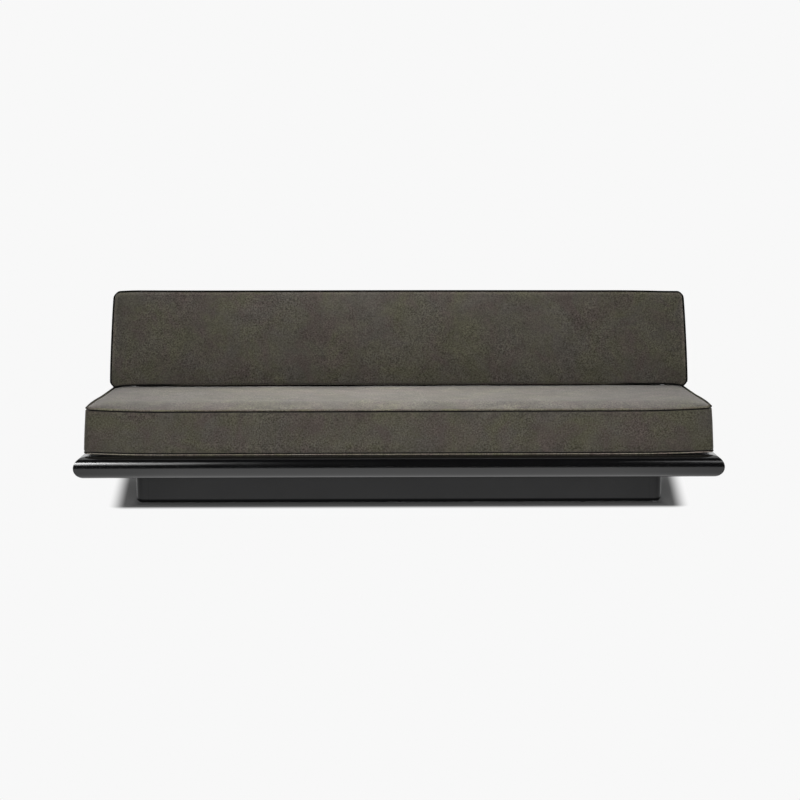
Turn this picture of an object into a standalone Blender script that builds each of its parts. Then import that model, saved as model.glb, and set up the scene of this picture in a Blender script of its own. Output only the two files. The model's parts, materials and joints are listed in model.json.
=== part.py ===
"""Low platform sofa: a plinth, a bullnosed torsion-box platform, a leaning back panel,
one long seat cushion and one long back cushion, both with piped and zipped covers.

Metres, Z up, the front faces -Y, the middle of the footprint on the floor is the origin.
"""

import math

import bmesh
import bpy
from mathutils import Matrix, Vector

# Clearance left between two pieces that touch on the real sofa
FIT_GAP = 0.0003

# Seat cushion
SEAT_WIDTH = 2.320  # side seam to side seam
SEAT_VISIBLE_DEPTH = 0.620  # front seam to the foot of the back cushion
SEAT_SEAM_HEIGHT = 0.166  # bottom seam to top seam, at a corner
SEAT_CROWN = 0.014
SEAT_BELLY = 0.0125  # underside below the bottom seam at a corner
SEAT_BULGE = 0.006
SEAT_CORNER_RADIUS = 0.022
SEAT_TOP_SAG = 0.0065  # seams hang lower between the corners than at them
SEAT_BOTTOM_SAG = 0.0075
SAG_REACH = 0.300
SEAT_REAR_CLEARANCE = 0.013  # room for the zip in front of the back panel
SEAT_MARGIN = 0.0005  # seat seam to the start of the platform's rounded edge
SEAT_FLAT_MARGIN = 0.012  # flat of the top to the foot of the back cushion
SEAT_PRESSED = 0.0008  # how far the top is pressed down under the back cushion

# Back cushion
BACK_LEAN = math.radians(17.0)
BACK_HEIGHT = 0.387
BACK_THICKNESS = 0.150
BACK_CROWN = 0.018
BACK_BULGE = 0.004
BACK_CORNER_RADIUS = 0.030
BACK_END_DROOP = 0.010
BACK_DROOP_REACH = 0.070

# Both cushions
PIPING_RADIUS = 0.004
COVER_THICKNESS = 0.003
CROWN_REACH = 0.100  # how far in from a seam the crown is full
DRAW_IN = 0.003  # how far a seam is drawn in between its corners

# Zips
SEAT_ZIP_INSET = 0.210  # side seam of the cushion to the end of its zip
BACK_ZIP_INSET = 0.260
BACK_ZIP_DROP = 0.040  # below the top seam of the rear face
ZIP_TAPE_WIDTH = 0.012
ZIP_COIL_WIDTH = 0.005
ZIP_COIL_HEIGHT = 0.0015
SLIDER_LENGTH = 0.012
SLIDER_WIDTH = 0.009
SLIDER_HEIGHT = 0.004
PULL_LENGTH = 0.028
PULL_THICKNESS = 0.0014

# Platform
PLATFORM_THICKNESS = 0.081
RAIL_WIDTH = 0.085
REAR_LEDGE = 0.198  # front foot of the back panel to the rear edge of the platform
DECK_THICKNESS = 0.018
SOFFIT_THICKNESS = 0.009
PANEL_REBATE = 0.014
RIB_THICKNESS = 0.036
RIB_COUNT = 4
RIB_END_INSET = 0.300  # outer ribs from the ends of the platform
CORNER_BLOCK_LEG = 0.090

# Plinth
PLINTH_INSET = 0.201
PLINTH_HEIGHT = 0.122
PLINTH_BOARD_THICKNESS = 0.022
PLINTH_CORNER_RADIUS = 0.030
CORNER_POST_SIZE = 0.048
CLEAT_WIDTH = 0.044
CLEAT_HEIGHT = 0.032
BRACE_THICKNESS = 0.022
GLIDE_RADIUS = 0.010
GLIDE_HEIGHT = 0.002

# Back panel and its brackets
PANEL_SIDE_INSET = 0.080  # side seam of the back cushion to the end of the panel
PANEL_TOP_DROP = 0.027  # middle of the back zip to the top of the panel
PANEL_THICKNESS = 0.025
BRACKET_WIDTH = 0.060
BRACKET_THICKNESS = 0.006
BRACKET_HEIGHT = 0.250
BRACKET_REAR_INSET = 0.044  # rear edge of the platform to the end of a bracket's foot
GUSSET_THICKNESS = 0.006
GUSSET_FOOT = 0.070
GUSSET_RISE = 0.095

# Bolts up through the plinth cleats into the platform ribs
BOLT_RADIUS = 0.004
BOLT_HEAD_RADIUS = 0.0075
BOLT_HEAD_HEIGHT = 0.0050
BOLT_SIDES = 12
RIB_BOLT_DEPTH = 0.026

# Fineness of the curved shapes
NOSE_STEPS = 14
CORNER_STEPS = 3
LONG_SIDE_STEPS = 8
SHORT_SIDE_STEPS = 4
PIPING_STEPS = 2

# Derived sizes and places
BACK_WIDTH = SEAT_WIDTH
SEAT_ZIP_LENGTH = SEAT_WIDTH - 2 * SEAT_ZIP_INSET
BACK_ZIP_LENGTH = BACK_WIDTH - 2 * BACK_ZIP_INSET
PANEL_WIDTH = BACK_WIDTH - 2 * PANEL_SIDE_INSET
NOSE_RADIUS = PLATFORM_THICKNESS / 2
PLATFORM_WIDTH = SEAT_WIDTH + 2 * (NOSE_RADIUS + SEAT_MARGIN)
LEAN_TAN = math.tan(BACK_LEAN)
LEAN_COS = math.cos(BACK_LEAN)
LEAN_SIN = math.sin(BACK_LEAN)
PLINTH_BASE = GLIDE_HEIGHT + FIT_GAP
PLATFORM_BASE = PLINTH_BASE + PLINTH_HEIGHT + FIT_GAP
DECK_TOP = PLATFORM_BASE + PLATFORM_THICKNESS
SEAT_SEAM_BASE = DECK_TOP + FIT_GAP + SEAT_BELLY
BACK_SEAM_BASE = SEAT_SEAM_BASE + SEAT_SEAM_HEIGHT + SEAT_CROWN + PIPING_RADIUS + FIT_GAP
BACK_STANDOFF = PIPING_RADIUS + FIT_GAP
# Along the slope of the panel, from the deck up
BACK_FOOT_RISE = (BACK_SEAM_BASE - BACK_THICKNESS * LEAN_SIN - DECK_TOP) / LEAN_COS
BACK_ZIP_RISE = BACK_FOOT_RISE + BACK_HEIGHT - BACK_ZIP_DROP
PANEL_LENGTH = BACK_ZIP_RISE - PANEL_TOP_DROP
# Distances from the front edge of the platform, later shifted to its middle
SEAT_FRONT_RUN = NOSE_RADIUS + SEAT_MARGIN
PANEL_RUN_AT_BACK = SEAT_FRONT_RUN + SEAT_VISIBLE_DEPTH + (BACK_THICKNESS + BACK_STANDOFF) / LEAN_COS
PANEL_FOOT_RUN = PANEL_RUN_AT_BACK - (BACK_SEAM_BASE - DECK_TOP) * LEAN_TAN
PLATFORM_DEPTH = PANEL_FOOT_RUN + REAR_LEDGE
FRONT = -PLATFORM_DEPTH / 2
REAR = PLATFORM_DEPTH / 2
SEAT_FRONT = FRONT + SEAT_FRONT_RUN
PANEL_FOOT = FRONT + PANEL_FOOT_RUN
RIB_SPACING = (PLATFORM_WIDTH - 2 * RIB_END_INSET) / (RIB_COUNT - 1)
RIB_PLACES = [-PLATFORM_WIDTH / 2 + RIB_END_INSET + RIB_SPACING * i for i in range(RIB_COUNT)]
PLINTH_WIDTH = PLATFORM_WIDTH - 2 * PLINTH_INSET
PLINTH_DEPTH = PLATFORM_DEPTH - 2 * PLINTH_INSET
CLEAT_LINE = PLINTH_DEPTH / 2 - PLINTH_BOARD_THICKNESS - FIT_GAP - CLEAT_WIDTH / 2


def start_empty():
    for thing in list(bpy.data.objects):
        bpy.data.objects.remove(thing, do_unlink=True)


def make_material(name, colour, roughness, metallic=0.0):
    material = bpy.data.materials.new(name)
    material.use_nodes = True
    shader = material.node_tree.nodes["Principled BSDF"]
    shader.inputs["Base Color"].default_value = (*colour, 1.0)
    shader.inputs["Roughness"].default_value = roughness
    shader.inputs["Metallic"].default_value = metallic
    return material


def make_holder(name, place, lean=0.0, parent=None):
    holder = bpy.data.objects.new(name, None)
    bpy.context.scene.collection.objects.link(holder)
    holder.location = place
    holder.rotation_euler = (-lean, 0.0, 0.0)
    holder.parent = parent
    return holder


def add_object(name, shape, material, holder, smooth_above=None):
    bmesh.ops.recalc_face_normals(shape, faces=shape.faces)
    mesh = bpy.data.meshes.new(name)
    shape.to_mesh(mesh)
    shape.free()
    if material:
        mesh.materials.append(material)
    if smooth_above is not None:
        mesh.shade_smooth()
        mesh.set_sharp_from_angle(angle=math.radians(smooth_above))
    thing = bpy.data.objects.new(name, mesh)
    bpy.context.scene.collection.objects.link(thing)
    thing.parent = holder
    return thing


def add_cutter(name, shape, target):
    cutter = add_object(name, shape, None, target.parent)
    cutter.location = target.location
    cutter.hide_render = True
    cutter.display_type = "WIRE"
    cut = target.modifiers.new(name, "BOOLEAN")
    cut.operation = "DIFFERENCE"
    cut.solver = "EXACT"
    cut.object = cutter
    return cutter


def put_box(shape, size, centre, turn=None):
    made = bmesh.ops.create_cube(shape, size=1.0)
    matrix = Matrix.Translation(centre)
    if turn is not None:
        matrix = matrix @ turn
    matrix = matrix @ Matrix.Diagonal((*size, 1.0))
    bmesh.ops.transform(shape, matrix=matrix, verts=made["verts"])


def box_shape(size, centre):
    shape = bmesh.new()
    put_box(shape, size, centre)
    return shape


def put_loft(shape, rings):
    """A solid that starts as a face on the first ring and is extruded from ring to ring."""
    base = shape.faces.new([shape.verts.new(place) for place in rings[0]])
    face = base
    for ring in rings[1:]:
        made = bmesh.ops.extrude_face_region(shape, geom=[face])["geom"]
        if face is not base:
            bmesh.ops.delete(shape, geom=[face], context="FACES_ONLY")
        face = next(item for item in made if isinstance(item, bmesh.types.BMFace))
        for corner, place in zip(face.verts, ring):
            corner.co = place


def put_sweep(shape, outline, first, last):
    """A solid between two placings of one outline; first and last turn an outline point into a place."""
    put_loft(shape, [[first(p) for p in outline], [last(p) for p in outline]])


def sweep_x(shape, outline, low, high):
    put_sweep(shape, outline, lambda p: (low, p[0], p[1]), lambda p: (high, p[0], p[1]))


def circle(radius, height, sides):
    turn = 2 * math.pi / sides
    return [Vector((radius * math.cos(turn * i), radius * math.sin(turn * i), height)) for i in range(sides)]


def put_turned(shape, profile, sides, matrix):
    put_loft(shape, [[matrix @ p for p in circle(radius, height, sides)] for radius, height in profile])


def put_bolt(shape, matrix, reach):
    """A round-headed bolt: the underside of its head at the matrix's origin, the shank along -Z."""
    dome = BOLT_HEAD_HEIGHT * 0.55
    profile = [
        (BOLT_RADIUS * 0.7, -reach),
        (BOLT_RADIUS, -reach + BOLT_RADIUS * 0.4),
        (BOLT_RADIUS, 0.0),
        (BOLT_HEAD_RADIUS, 0.0),
        (BOLT_HEAD_RADIUS, dome),
        (BOLT_HEAD_RADIUS * 0.6, BOLT_HEAD_HEIGHT),
    ]
    put_turned(shape, profile, BOLT_SIDES, matrix)


def put_hole(shape, matrix, above, below):
    """A straight hole for a bolt with the same placing as put_bolt."""
    radius = BOLT_RADIUS + FIT_GAP
    put_turned(shape, [(radius, -below), (radius, above)], BOLT_SIDES, matrix)


def slope_y(offset, height):
    """Y of the plane parallel to the back panel's front face, offset behind it, at a height."""
    return PANEL_FOOT + offset / LEAN_COS + (height - DECK_TOP) * LEAN_TAN


def fullness(distance, reach):
    """0 on a seam and 1 once the crown is full."""
    share = min(max(distance / reach, 0.0), 1.0)
    return 1.0 - (1.0 - share) ** 2


def eased_steps(count):
    return [0.5 - 0.5 * math.cos(math.pi * i / count) for i in range(1, count)]


def rounded_outline(half_width, low, high, radius):
    """Places round a rectangle with round corners: x, v, outward x, outward v, and a share that
    is 0 on the corners and 1 halfway along a side."""
    corners = [
        (half_width - radius, low + radius, -90),
        (half_width - radius, high - radius, 0),
        (radius - half_width, high - radius, 90),
        (radius - half_width, low + radius, 180),
    ]
    side_steps = [SHORT_SIDE_STEPS, LONG_SIDE_STEPS, SHORT_SIDE_STEPS, LONG_SIDE_STEPS]
    arcs = []
    for x, v, start in corners:
        arc = []
        for i in range(CORNER_STEPS + 1):
            angle = math.radians(start + 90 * i / CORNER_STEPS)
            out_x = math.cos(angle)
            out_v = math.sin(angle)
            arc.append((x + radius * out_x, v + radius * out_v, out_x, out_v, 0.0))
        arcs.append(arc)
    places = []
    for i, arc in enumerate(arcs):
        places.extend(arc)
        here = arc[-1]
        there = arcs[(i + 1) % 4][0]
        for share in eased_steps(side_steps[i]):
            x = here[0] + (there[0] - here[0]) * share
            v = here[1] + (there[1] - here[1]) * share
            places.append((x, v, here[2], here[3], 4 * share * (1 - share)))
    return places


class Cushion:
    """A boxed cushion in its own x, v, t: v across the sewn face, t from the flat face to the crowned one."""

    def __init__(self, **sizes):
        self.droop = 0.0
        self.top_sag = 0.0
        self.bottom_sag = 0.0
        self.low_slope = 0.0
        self.high_slope = 0.0
        self.__dict__.update(sizes)

    def ring(self, t, inset, shrink, outward=0.0, drawn=0.0, lift=0.0, sag=0.0, seam_t=None):
        edge_t = t if seam_t is None else seam_t
        low = self.low + self.low_slope * edge_t + inset + shrink
        high = self.high + self.high_slope * edge_t - inset - shrink
        radius = max(self.corner_radius - inset - shrink, 0.004)
        places = []
        half_width = self.half_width - inset - shrink
        for x, v, out_x, out_v, middle in rounded_outline(half_width, low, high, radius):
            push = outward - drawn * middle
            drop = 0.0
            if self.droop and out_v < -0.5:
                end = max(self.half_width - abs(x), 0.0)
                drop = self.droop * (1.0 - fullness(end, BACK_DROOP_REACH)) * -out_v
            hang = sag * fullness(self.half_width - abs(x), SAG_REACH) if abs(out_v) > 0.5 else 0.0
            places.append((x + out_x * push, v + out_v * push - drop, t + lift - hang))
        return places

    def rings(self, shrink=0.0, coarse=False):
        """Rings from the middle of the flat face, over the boxing, to the middle of the crowned face."""
        chamfer = (PIPING_RADIUS + FIT_GAP) * math.sqrt(2)
        low = shrink
        high = self.thickness - shrink
        insets = [chamfer] + ([] if coarse else [CROWN_REACH * 0.24, CROWN_REACH * 0.55]) + [CROWN_REACH]
        rings = []
        for inset in reversed(insets):
            full = fullness(inset - chamfer, CROWN_REACH - chamfer)
            loose = 1 - full
            sag = self.bottom_sag * loose
            rings.append(self.ring(low, inset, shrink, 0.0, DRAW_IN * loose, -self.belly * full, sag))
        rings.append(self.ring(low + chamfer, 0.0, shrink, 0.0, DRAW_IN, 0.0, self.bottom_sag, low))
        for share in [] if coarse else [0.25, 0.45, 0.55, 0.75]:
            swell = 4 * share * (1 - share)
            t = low + (high - low) * share
            sag = self.bottom_sag + (self.top_sag - self.bottom_sag) * share
            rings.append(self.ring(t, 0.0, shrink, self.bulge * swell, DRAW_IN * (1 - swell), 0.0, sag))
        rings.append(self.ring(high - chamfer, 0.0, shrink, 0.0, DRAW_IN, 0.0, self.top_sag, high))
        for inset in insets:
            full = fullness(inset - chamfer, CROWN_REACH - chamfer)
            loose = 1 - full
            sag = self.top_sag * loose
            rings.append(self.ring(high, inset, shrink, 0.0, DRAW_IN * loose, self.crown * full, sag))
        return rings

    def seam(self, t, sag):
        return self.ring(t, 0.0, 0.0, 0.0, DRAW_IN, 0.0, sag)


def seat_place(p):
    return (p[0], p[1], p[2])


def back_place(p):
    return (p[0], -p[2], p[1])


def cushion_shape(cushion, place, shrink=0.0, coarse=False):
    shape = bmesh.new()
    put_loft(shape, [[place(p) for p in ring] for ring in cushion.rings(shrink, coarse)])
    return shape


def add_piping(name, places, material, holder):
    curve = bpy.data.curves.new(name, "CURVE")
    curve.dimensions = "3D"
    curve.bevel_depth = PIPING_RADIUS
    curve.bevel_resolution = PIPING_STEPS
    curve.use_fill_caps = True
    spline = curve.splines.new("POLY")
    spline.points.add(len(places) - 1)
    for point, place in zip(spline.points, places):
        point.co = (*place, 1.0)
    spline.use_cyclic_u = True
    curve.materials.append(material)
    thing = bpy.data.objects.new(name, curve)
    bpy.context.scene.collection.objects.link(thing)
    thing.parent = holder
    return thing


def zip_shape(length):
    """Tape with the coil along its middle: X along the zip, +Y out of the cushion, tape's outer face at 0."""
    half = ZIP_TAPE_WIDTH / 2 - FIT_GAP
    coil = ZIP_COIL_WIDTH / 2
    depth = COVER_THICKNESS - FIT_GAP
    outline = [
        (-depth, -half),
        (0.0, -half),
        (0.0, -coil),
        (ZIP_COIL_HEIGHT, -coil * 0.6),
        (ZIP_COIL_HEIGHT, coil * 0.6),
        (0.0, coil),
        (0.0, half),
        (-depth, half),
    ]
    shape = bmesh.new()
    sweep_x(shape, outline, -length / 2 + FIT_GAP, length / 2 - FIT_GAP)
    return shape


def slider_shape():
    """Slider body over the coil and its pull lying along the zip; +Y out of the cushion."""
    base = ZIP_COIL_HEIGHT + FIT_GAP
    top = base + SLIDER_HEIGHT
    half = SLIDER_LENGTH / 2
    end = half + PULL_LENGTH
    pull_low = base + (SLIDER_HEIGHT - PULL_THICKNESS) / 2
    pull_high = pull_low + PULL_THICKNESS
    outline = [
        (-half, base),
        (half, base),
        (half, pull_low),
        (end, pull_low),
        (end, pull_high),
        (half, pull_high),
        (half * 0.7, top),
        (-half * 0.7, top),
        (-half, pull_high),
    ]
    shape = bmesh.new()
    width = SLIDER_WIDTH / 2
    put_sweep(shape, outline, lambda p: (p[0], p[1], -width), lambda p: (p[0], p[1], width))
    return shape


def add_zip(prefix, cover, holder, place, lean, length, tape, metal):
    """The slot in a cover, the zip in it and the slider at one end of the zip."""
    turn = Matrix.Rotation(-lean, 4, "X")
    shape = bmesh.new()
    put_box(shape, (length, COVER_THICKNESS * 5, ZIP_TAPE_WIDTH), place, turn)
    add_cutter(prefix + "_slot_cutter", shape, cover)
    strip = add_object(prefix + "_zip", zip_shape(length), tape, holder)
    strip.location = place
    strip.rotation_euler = (-lean, 0.0, 0.0)
    slider = add_object(prefix + "_zip_slider", slider_shape(), metal, holder)
    start = Vector(place)
    start.x = -length / 2 + SLIDER_LENGTH / 2 + 0.004
    slider.location = start
    slider.rotation_euler = (-lean, 0.0, 0.0)


def build_plinth(lacquer, timber, plastic):
    holder = make_holder("plinth", (0.0, 0.0, PLINTH_BASE))
    half_w = PLINTH_WIDTH / 2
    half_d = PLINTH_DEPTH / 2
    thick = PLINTH_BOARD_THICKNESS
    middle = PLINTH_HEIGHT / 2
    length = PLINTH_WIDTH - 2 * (CORNER_POST_SIZE + FIT_GAP)
    width = PLINTH_DEPTH - 2 * (CORNER_POST_SIZE + FIT_GAP)
    boards = {
        "plinth_front_board": ((length, thick, PLINTH_HEIGHT), (0.0, thick / 2 - half_d, middle)),
        "plinth_back_board": ((length, thick, PLINTH_HEIGHT), (0.0, half_d - thick / 2, middle)),
        "plinth_left_board": ((thick, width, PLINTH_HEIGHT), (thick / 2 - half_w, 0.0, middle)),
        "plinth_right_board": ((thick, width, PLINTH_HEIGHT), (half_w - thick / 2, 0.0, middle)),
    }
    for name, (size, centre) in boards.items():
        add_object(name, box_shape(size, centre), lacquer, holder)

    corners = {
        "plinth_post_front_left": (-1, -1),
        "plinth_post_front_right": (1, -1),
        "plinth_post_back_left": (-1, 1),
        "plinth_post_back_right": (1, 1),
    }
    for name, (sx, sy) in corners.items():
        outline = [(CORNER_POST_SIZE, 0.0), (CORNER_POST_SIZE, CORNER_POST_SIZE), (0.0, CORNER_POST_SIZE)]
        for i in range(9):
            angle = math.radians(180 + 90 * i / 8)
            outline.append((
                PLINTH_CORNER_RADIUS * (1 + math.cos(angle)),
                PLINTH_CORNER_RADIUS * (1 + math.sin(angle)),
            ))
        shape = bmesh.new()
        put_sweep(
            shape,
            outline,
            lambda p: (sx * (half_w - p[0]), sy * (half_d - p[1]), 0.0),
            lambda p: (sx * (half_w - p[0]), sy * (half_d - p[1]), PLINTH_HEIGHT),
        )
        add_object(name, shape, lacquer, holder, 25.0)

    cleat_length = PLINTH_WIDTH - 2 * (CORNER_POST_SIZE + 2 * FIT_GAP)
    for name, side in (("plinth_front_cleat", -1), ("plinth_back_cleat", 1)):
        size = (cleat_length, CLEAT_WIDTH, CLEAT_HEIGHT)
        centre = (0.0, side * CLEAT_LINE, PLINTH_HEIGHT - CLEAT_HEIGHT / 2)
        cleat = add_object(name, box_shape(size, centre), timber, holder)
        shape = bmesh.new()
        for x in RIB_PLACES:
            foot = Matrix.Translation((x, side * CLEAT_LINE, PLINTH_HEIGHT - CLEAT_HEIGHT))
            put_hole(shape, foot, 2 * CLEAT_HEIGHT, CLEAT_HEIGHT)
        add_cutter(name + "_holes", shape, cleat)

    brace_height = PLINTH_HEIGHT - CLEAT_HEIGHT - FIT_GAP
    brace_length = PLINTH_DEPTH - 2 * (PLINTH_BOARD_THICKNESS + FIT_GAP)
    for i, (x, next_x) in enumerate(zip(RIB_PLACES, RIB_PLACES[1:])):
        size = (BRACE_THICKNESS, brace_length, brace_height)
        centre = ((x + next_x) / 2, 0.0, brace_height / 2)
        add_object(f"plinth_brace_{i + 1}", box_shape(size, centre), timber, holder)

    post = CORNER_POST_SIZE / 2
    columns = {"left": (post - half_w, post), "middle": (0.0, thick / 2), "right": (half_w - post, post)}
    for row, side in (("front", -1), ("back", 1)):
        for column, (x, inward) in columns.items():
            shape = bmesh.new()
            profile = [
                (GLIDE_RADIUS * 0.85, 0.0),
                (GLIDE_RADIUS, GLIDE_HEIGHT * 0.25),
                (GLIDE_RADIUS, GLIDE_HEIGHT),
            ]
            foot = Matrix.Translation((x, side * (half_d - inward), -PLINTH_BASE))
            put_turned(shape, profile, 20, foot)
            add_object(f"floor_glide_{row}_{column}", shape, plastic, holder, 50.0)


def rail_profile():
    """Bullnosed rail section: distance in from the outer edge, and height."""
    thick = PLATFORM_THICKNESS
    deck_step = thick - DECK_THICKNESS - FIT_GAP
    soffit_step = SOFFIT_THICKNESS + FIT_GAP
    ledge = RAIL_WIDTH - PANEL_REBATE
    profile = []
    for i in range(NOSE_STEPS + 1):
        angle = math.radians(90 + 180 * i / NOSE_STEPS)
        profile.append((NOSE_RADIUS * (1 + math.cos(angle)), NOSE_RADIUS * (1 + math.sin(angle))))
    profile += [
        (ledge, 0.0),
        (ledge, soffit_step),
        (RAIL_WIDTH, soffit_step),
        (RAIL_WIDTH, deck_step),
        (ledge, deck_step),
        (ledge, thick),
    ]
    return profile


def build_platform(lacquer, timber, steel):
    holder = make_holder("platform", (0.0, 0.0, PLATFORM_BASE))
    profile = rail_profile()
    half_w = PLATFORM_WIDTH / 2
    half_d = PLATFORM_DEPTH / 2
    mitre = FIT_GAP / 2

    for name, side in (("platform_front_rail", -1), ("platform_back_rail", 1)):
        shape = bmesh.new()
        put_sweep(
            shape,
            profile,
            lambda p: (-half_w + p[0] + mitre, side * (half_d - p[0]), p[1]),
            lambda p: (half_w - p[0] - mitre, side * (half_d - p[0]), p[1]),
        )
        add_object(name, shape, lacquer, holder, 25.0)
    for name, side in (("platform_left_rail", -1), ("platform_right_rail", 1)):
        shape = bmesh.new()
        put_sweep(
            shape,
            profile,
            lambda p: (side * (half_w - p[0]), -half_d + p[0] + mitre, p[1]),
            lambda p: (side * (half_w - p[0]), half_d - p[0] - mitre, p[1]),
        )
        add_object(name, shape, lacquer, holder, 25.0)

    inset = RAIL_WIDTH - PANEL_REBATE + FIT_GAP
    panel_size = (PLATFORM_WIDTH - 2 * inset, PLATFORM_DEPTH - 2 * inset)
    centre = (0.0, 0.0, PLATFORM_THICKNESS - DECK_THICKNESS / 2)
    add_object("deck_panel", box_shape((*panel_size, DECK_THICKNESS), centre), lacquer, holder)
    shape = box_shape((*panel_size, SOFFIT_THICKNESS), (0.0, 0.0, SOFFIT_THICKNESS / 2))
    soffit = add_object("soffit_panel", shape, lacquer, holder)
    shape = bmesh.new()
    for x in RIB_PLACES:
        for side in (-1, 1):
            place = Matrix.Translation((x, side * CLEAT_LINE, 0.0))
            put_hole(shape, place, 2 * SOFFIT_THICKNESS, SOFFIT_THICKNESS)
    add_cutter("soffit_holes", shape, soffit)

    floor = SOFFIT_THICKNESS + FIT_GAP
    ceiling = PLATFORM_THICKNESS - DECK_THICKNESS - FIT_GAP
    middle = (floor + ceiling) / 2
    rib_length = PLATFORM_DEPTH - 2 * (RAIL_WIDTH + FIT_GAP)
    for i, x in enumerate(RIB_PLACES):
        size = (RIB_THICKNESS, rib_length, ceiling - floor)
        rib = add_object(f"platform_rib_{i + 1}", box_shape(size, (x, 0.0, middle)), timber, holder)
        shape = bmesh.new()
        for side in (-1, 1):
            place = Matrix.Translation((x, side * CLEAT_LINE, floor))
            put_hole(shape, place, RIB_BOLT_DEPTH + 0.003, SOFFIT_THICKNESS)
        add_cutter(f"rib_{i + 1}_holes", shape, rib)

    blocks = {
        "corner_block_front_left": (-1, -1),
        "corner_block_front_right": (1, -1),
        "corner_block_back_left": (-1, 1),
        "corner_block_back_right": (1, 1),
    }
    for name, (sx, sy) in blocks.items():
        edge = RAIL_WIDTH + FIT_GAP
        leg = CORNER_BLOCK_LEG
        cut = leg * 0.25
        outline = [(0.0, 0.0), (leg, 0.0), (leg, cut), (cut, leg), (0.0, leg)]
        shape = bmesh.new()
        put_sweep(
            shape,
            outline,
            lambda p: (sx * (half_w - edge - p[0]), sy * (half_d - edge - p[1]), floor),
            lambda p: (sx * (half_w - edge - p[0]), sy * (half_d - edge - p[1]), ceiling),
        )
        add_object(name, shape, timber, holder)

    head = -FIT_GAP - CLEAT_HEIGHT - FIT_GAP
    upright = Matrix.Rotation(math.pi, 4, "X")
    for row, side in (("front", -1), ("back", 1)):
        for i, x in enumerate(RIB_PLACES):
            shape = bmesh.new()
            place = Matrix.Translation((x, side * CLEAT_LINE, head))
            put_bolt(shape, place @ upright, floor - head + RIB_BOLT_DEPTH)
            add_object(f"platform_bolt_{row}_{i + 1}", shape, steel, holder, 35.0)


def build_back_panel(lacquer, steel):
    holder = make_holder("back_panel_lean", (0.0, PANEL_FOOT, DECK_TOP), BACK_LEAN)
    foot = FIT_GAP / LEAN_COS
    radius = PANEL_THICKNESS / 2
    outline = [(0.0, foot), (PANEL_THICKNESS, foot + PANEL_THICKNESS * LEAN_TAN)]
    for i in range(9):
        angle = math.radians(180 * i / 8)
        outline.append((radius * (1 + math.cos(angle)), PANEL_LENGTH - radius * (1 - math.sin(angle))))
    shape = bmesh.new()
    sweep_x(shape, outline, -PANEL_WIDTH / 2, PANEL_WIDTH / 2)
    add_object("back_panel", shape, lacquer, holder, 25.0)

    low = DECK_TOP + FIT_GAP
    step = low + BRACKET_THICKNESS
    high = DECK_TOP + BRACKET_HEIGHT
    front = PANEL_THICKNESS + FIT_GAP
    behind = front + BRACKET_THICKNESS
    foot_end = REAR - BRACKET_REAR_INSET
    strap = [
        (slope_y(front, low), low),
        (foot_end, low),
        (foot_end, step),
        (slope_y(behind, step), step),
        (slope_y(behind, high), high),
        (slope_y(front, high), high),
    ]
    bite = BRACKET_THICKNESS / 2
    gusset_high = step + GUSSET_RISE
    gusset_foot = slope_y(behind, step) + GUSSET_FOOT
    gusset = [
        (slope_y(behind - bite, step - bite), step - bite),
        (gusset_foot, step - bite),
        (gusset_foot, step + bite),
        (slope_y(behind + bite, gusset_high), gusset_high),
        (slope_y(behind - bite, gusset_high), gusset_high),
    ]
    for i, x in enumerate(RIB_PLACES):
        shape = bmesh.new()
        sweep_x(shape, strap, x - BRACKET_WIDTH / 2, x + BRACKET_WIDTH / 2)
        bracket = add_object(f"back_bracket_{i + 1}", shape, steel, None)
        plate = bmesh.new()
        sweep_x(plate, gusset, x - GUSSET_THICKNESS / 2, x + GUSSET_THICKNESS / 2)
        weld = add_cutter(f"bracket_{i + 1}_gusset", plate, bracket)
        weld_on = bracket.modifiers[weld.name]
        weld_on.operation = "UNION"


def build_seat_cushion(fabric, cord, foam, tape, metal):
    holder = make_holder("seat_cushion", (0.0, SEAT_FRONT, SEAT_SEAM_BASE))
    rear = slope_y(-SEAT_REAR_CLEARANCE, SEAT_SEAM_BASE) - SEAT_FRONT
    seat = Cushion(
        half_width=SEAT_WIDTH / 2,
        low=0.0,
        high=rear,
        high_slope=LEAN_TAN,
        thickness=SEAT_SEAM_HEIGHT,
        corner_radius=SEAT_CORNER_RADIUS,
        crown=SEAT_CROWN,
        belly=SEAT_BELLY,
        bulge=SEAT_BULGE,
        top_sag=SEAT_TOP_SAG,
        bottom_sag=SEAT_BOTTOM_SAG,
    )
    shape = cushion_shape(seat, seat_place)
    # The top is flat up to the back cushion and pressed down a little under it
    top = max(shape.faces, key=lambda face: face.calc_center_median().z)
    flat_end = SEAT_VISIBLE_DEPTH - SEAT_FLAT_MARGIN
    pressed = [vert for vert in top.verts if vert.co.y > flat_end]
    bmesh.ops.bisect_plane(
        shape, geom=[top, *top.edges, *top.verts], plane_co=(0.0, flat_end, 0.0), plane_no=(0.0, 1.0, 0.0)
    )
    bmesh.ops.translate(shape, verts=pressed, vec=(0.0, 0.0, -SEAT_PRESSED))
    cover = add_object("seat_cover", shape, fabric, holder, 40.0)
    add_cutter("seat_cover_hollow", cushion_shape(seat, seat_place, COVER_THICKNESS), cover)
    inside = cushion_shape(seat, seat_place, COVER_THICKNESS + FIT_GAP, True)
    add_object("seat_foam_core", inside, foam, holder, 40.0)
    for name, t, sag in (
        ("seat_piping_top", SEAT_SEAM_HEIGHT, SEAT_TOP_SAG),
        ("seat_piping_bottom", 0.0, SEAT_BOTTOM_SAG),
    ):
        add_piping(name, [seat_place(p) for p in seat.seam(t, sag)], cord, holder)
    half = SEAT_SEAM_HEIGHT / 2
    place = (0.0, rear + half * LEAN_TAN + SEAT_BULGE * 0.99, half)
    add_zip("seat", cover, holder, place, BACK_LEAN, SEAT_ZIP_LENGTH, tape, metal)


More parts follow.
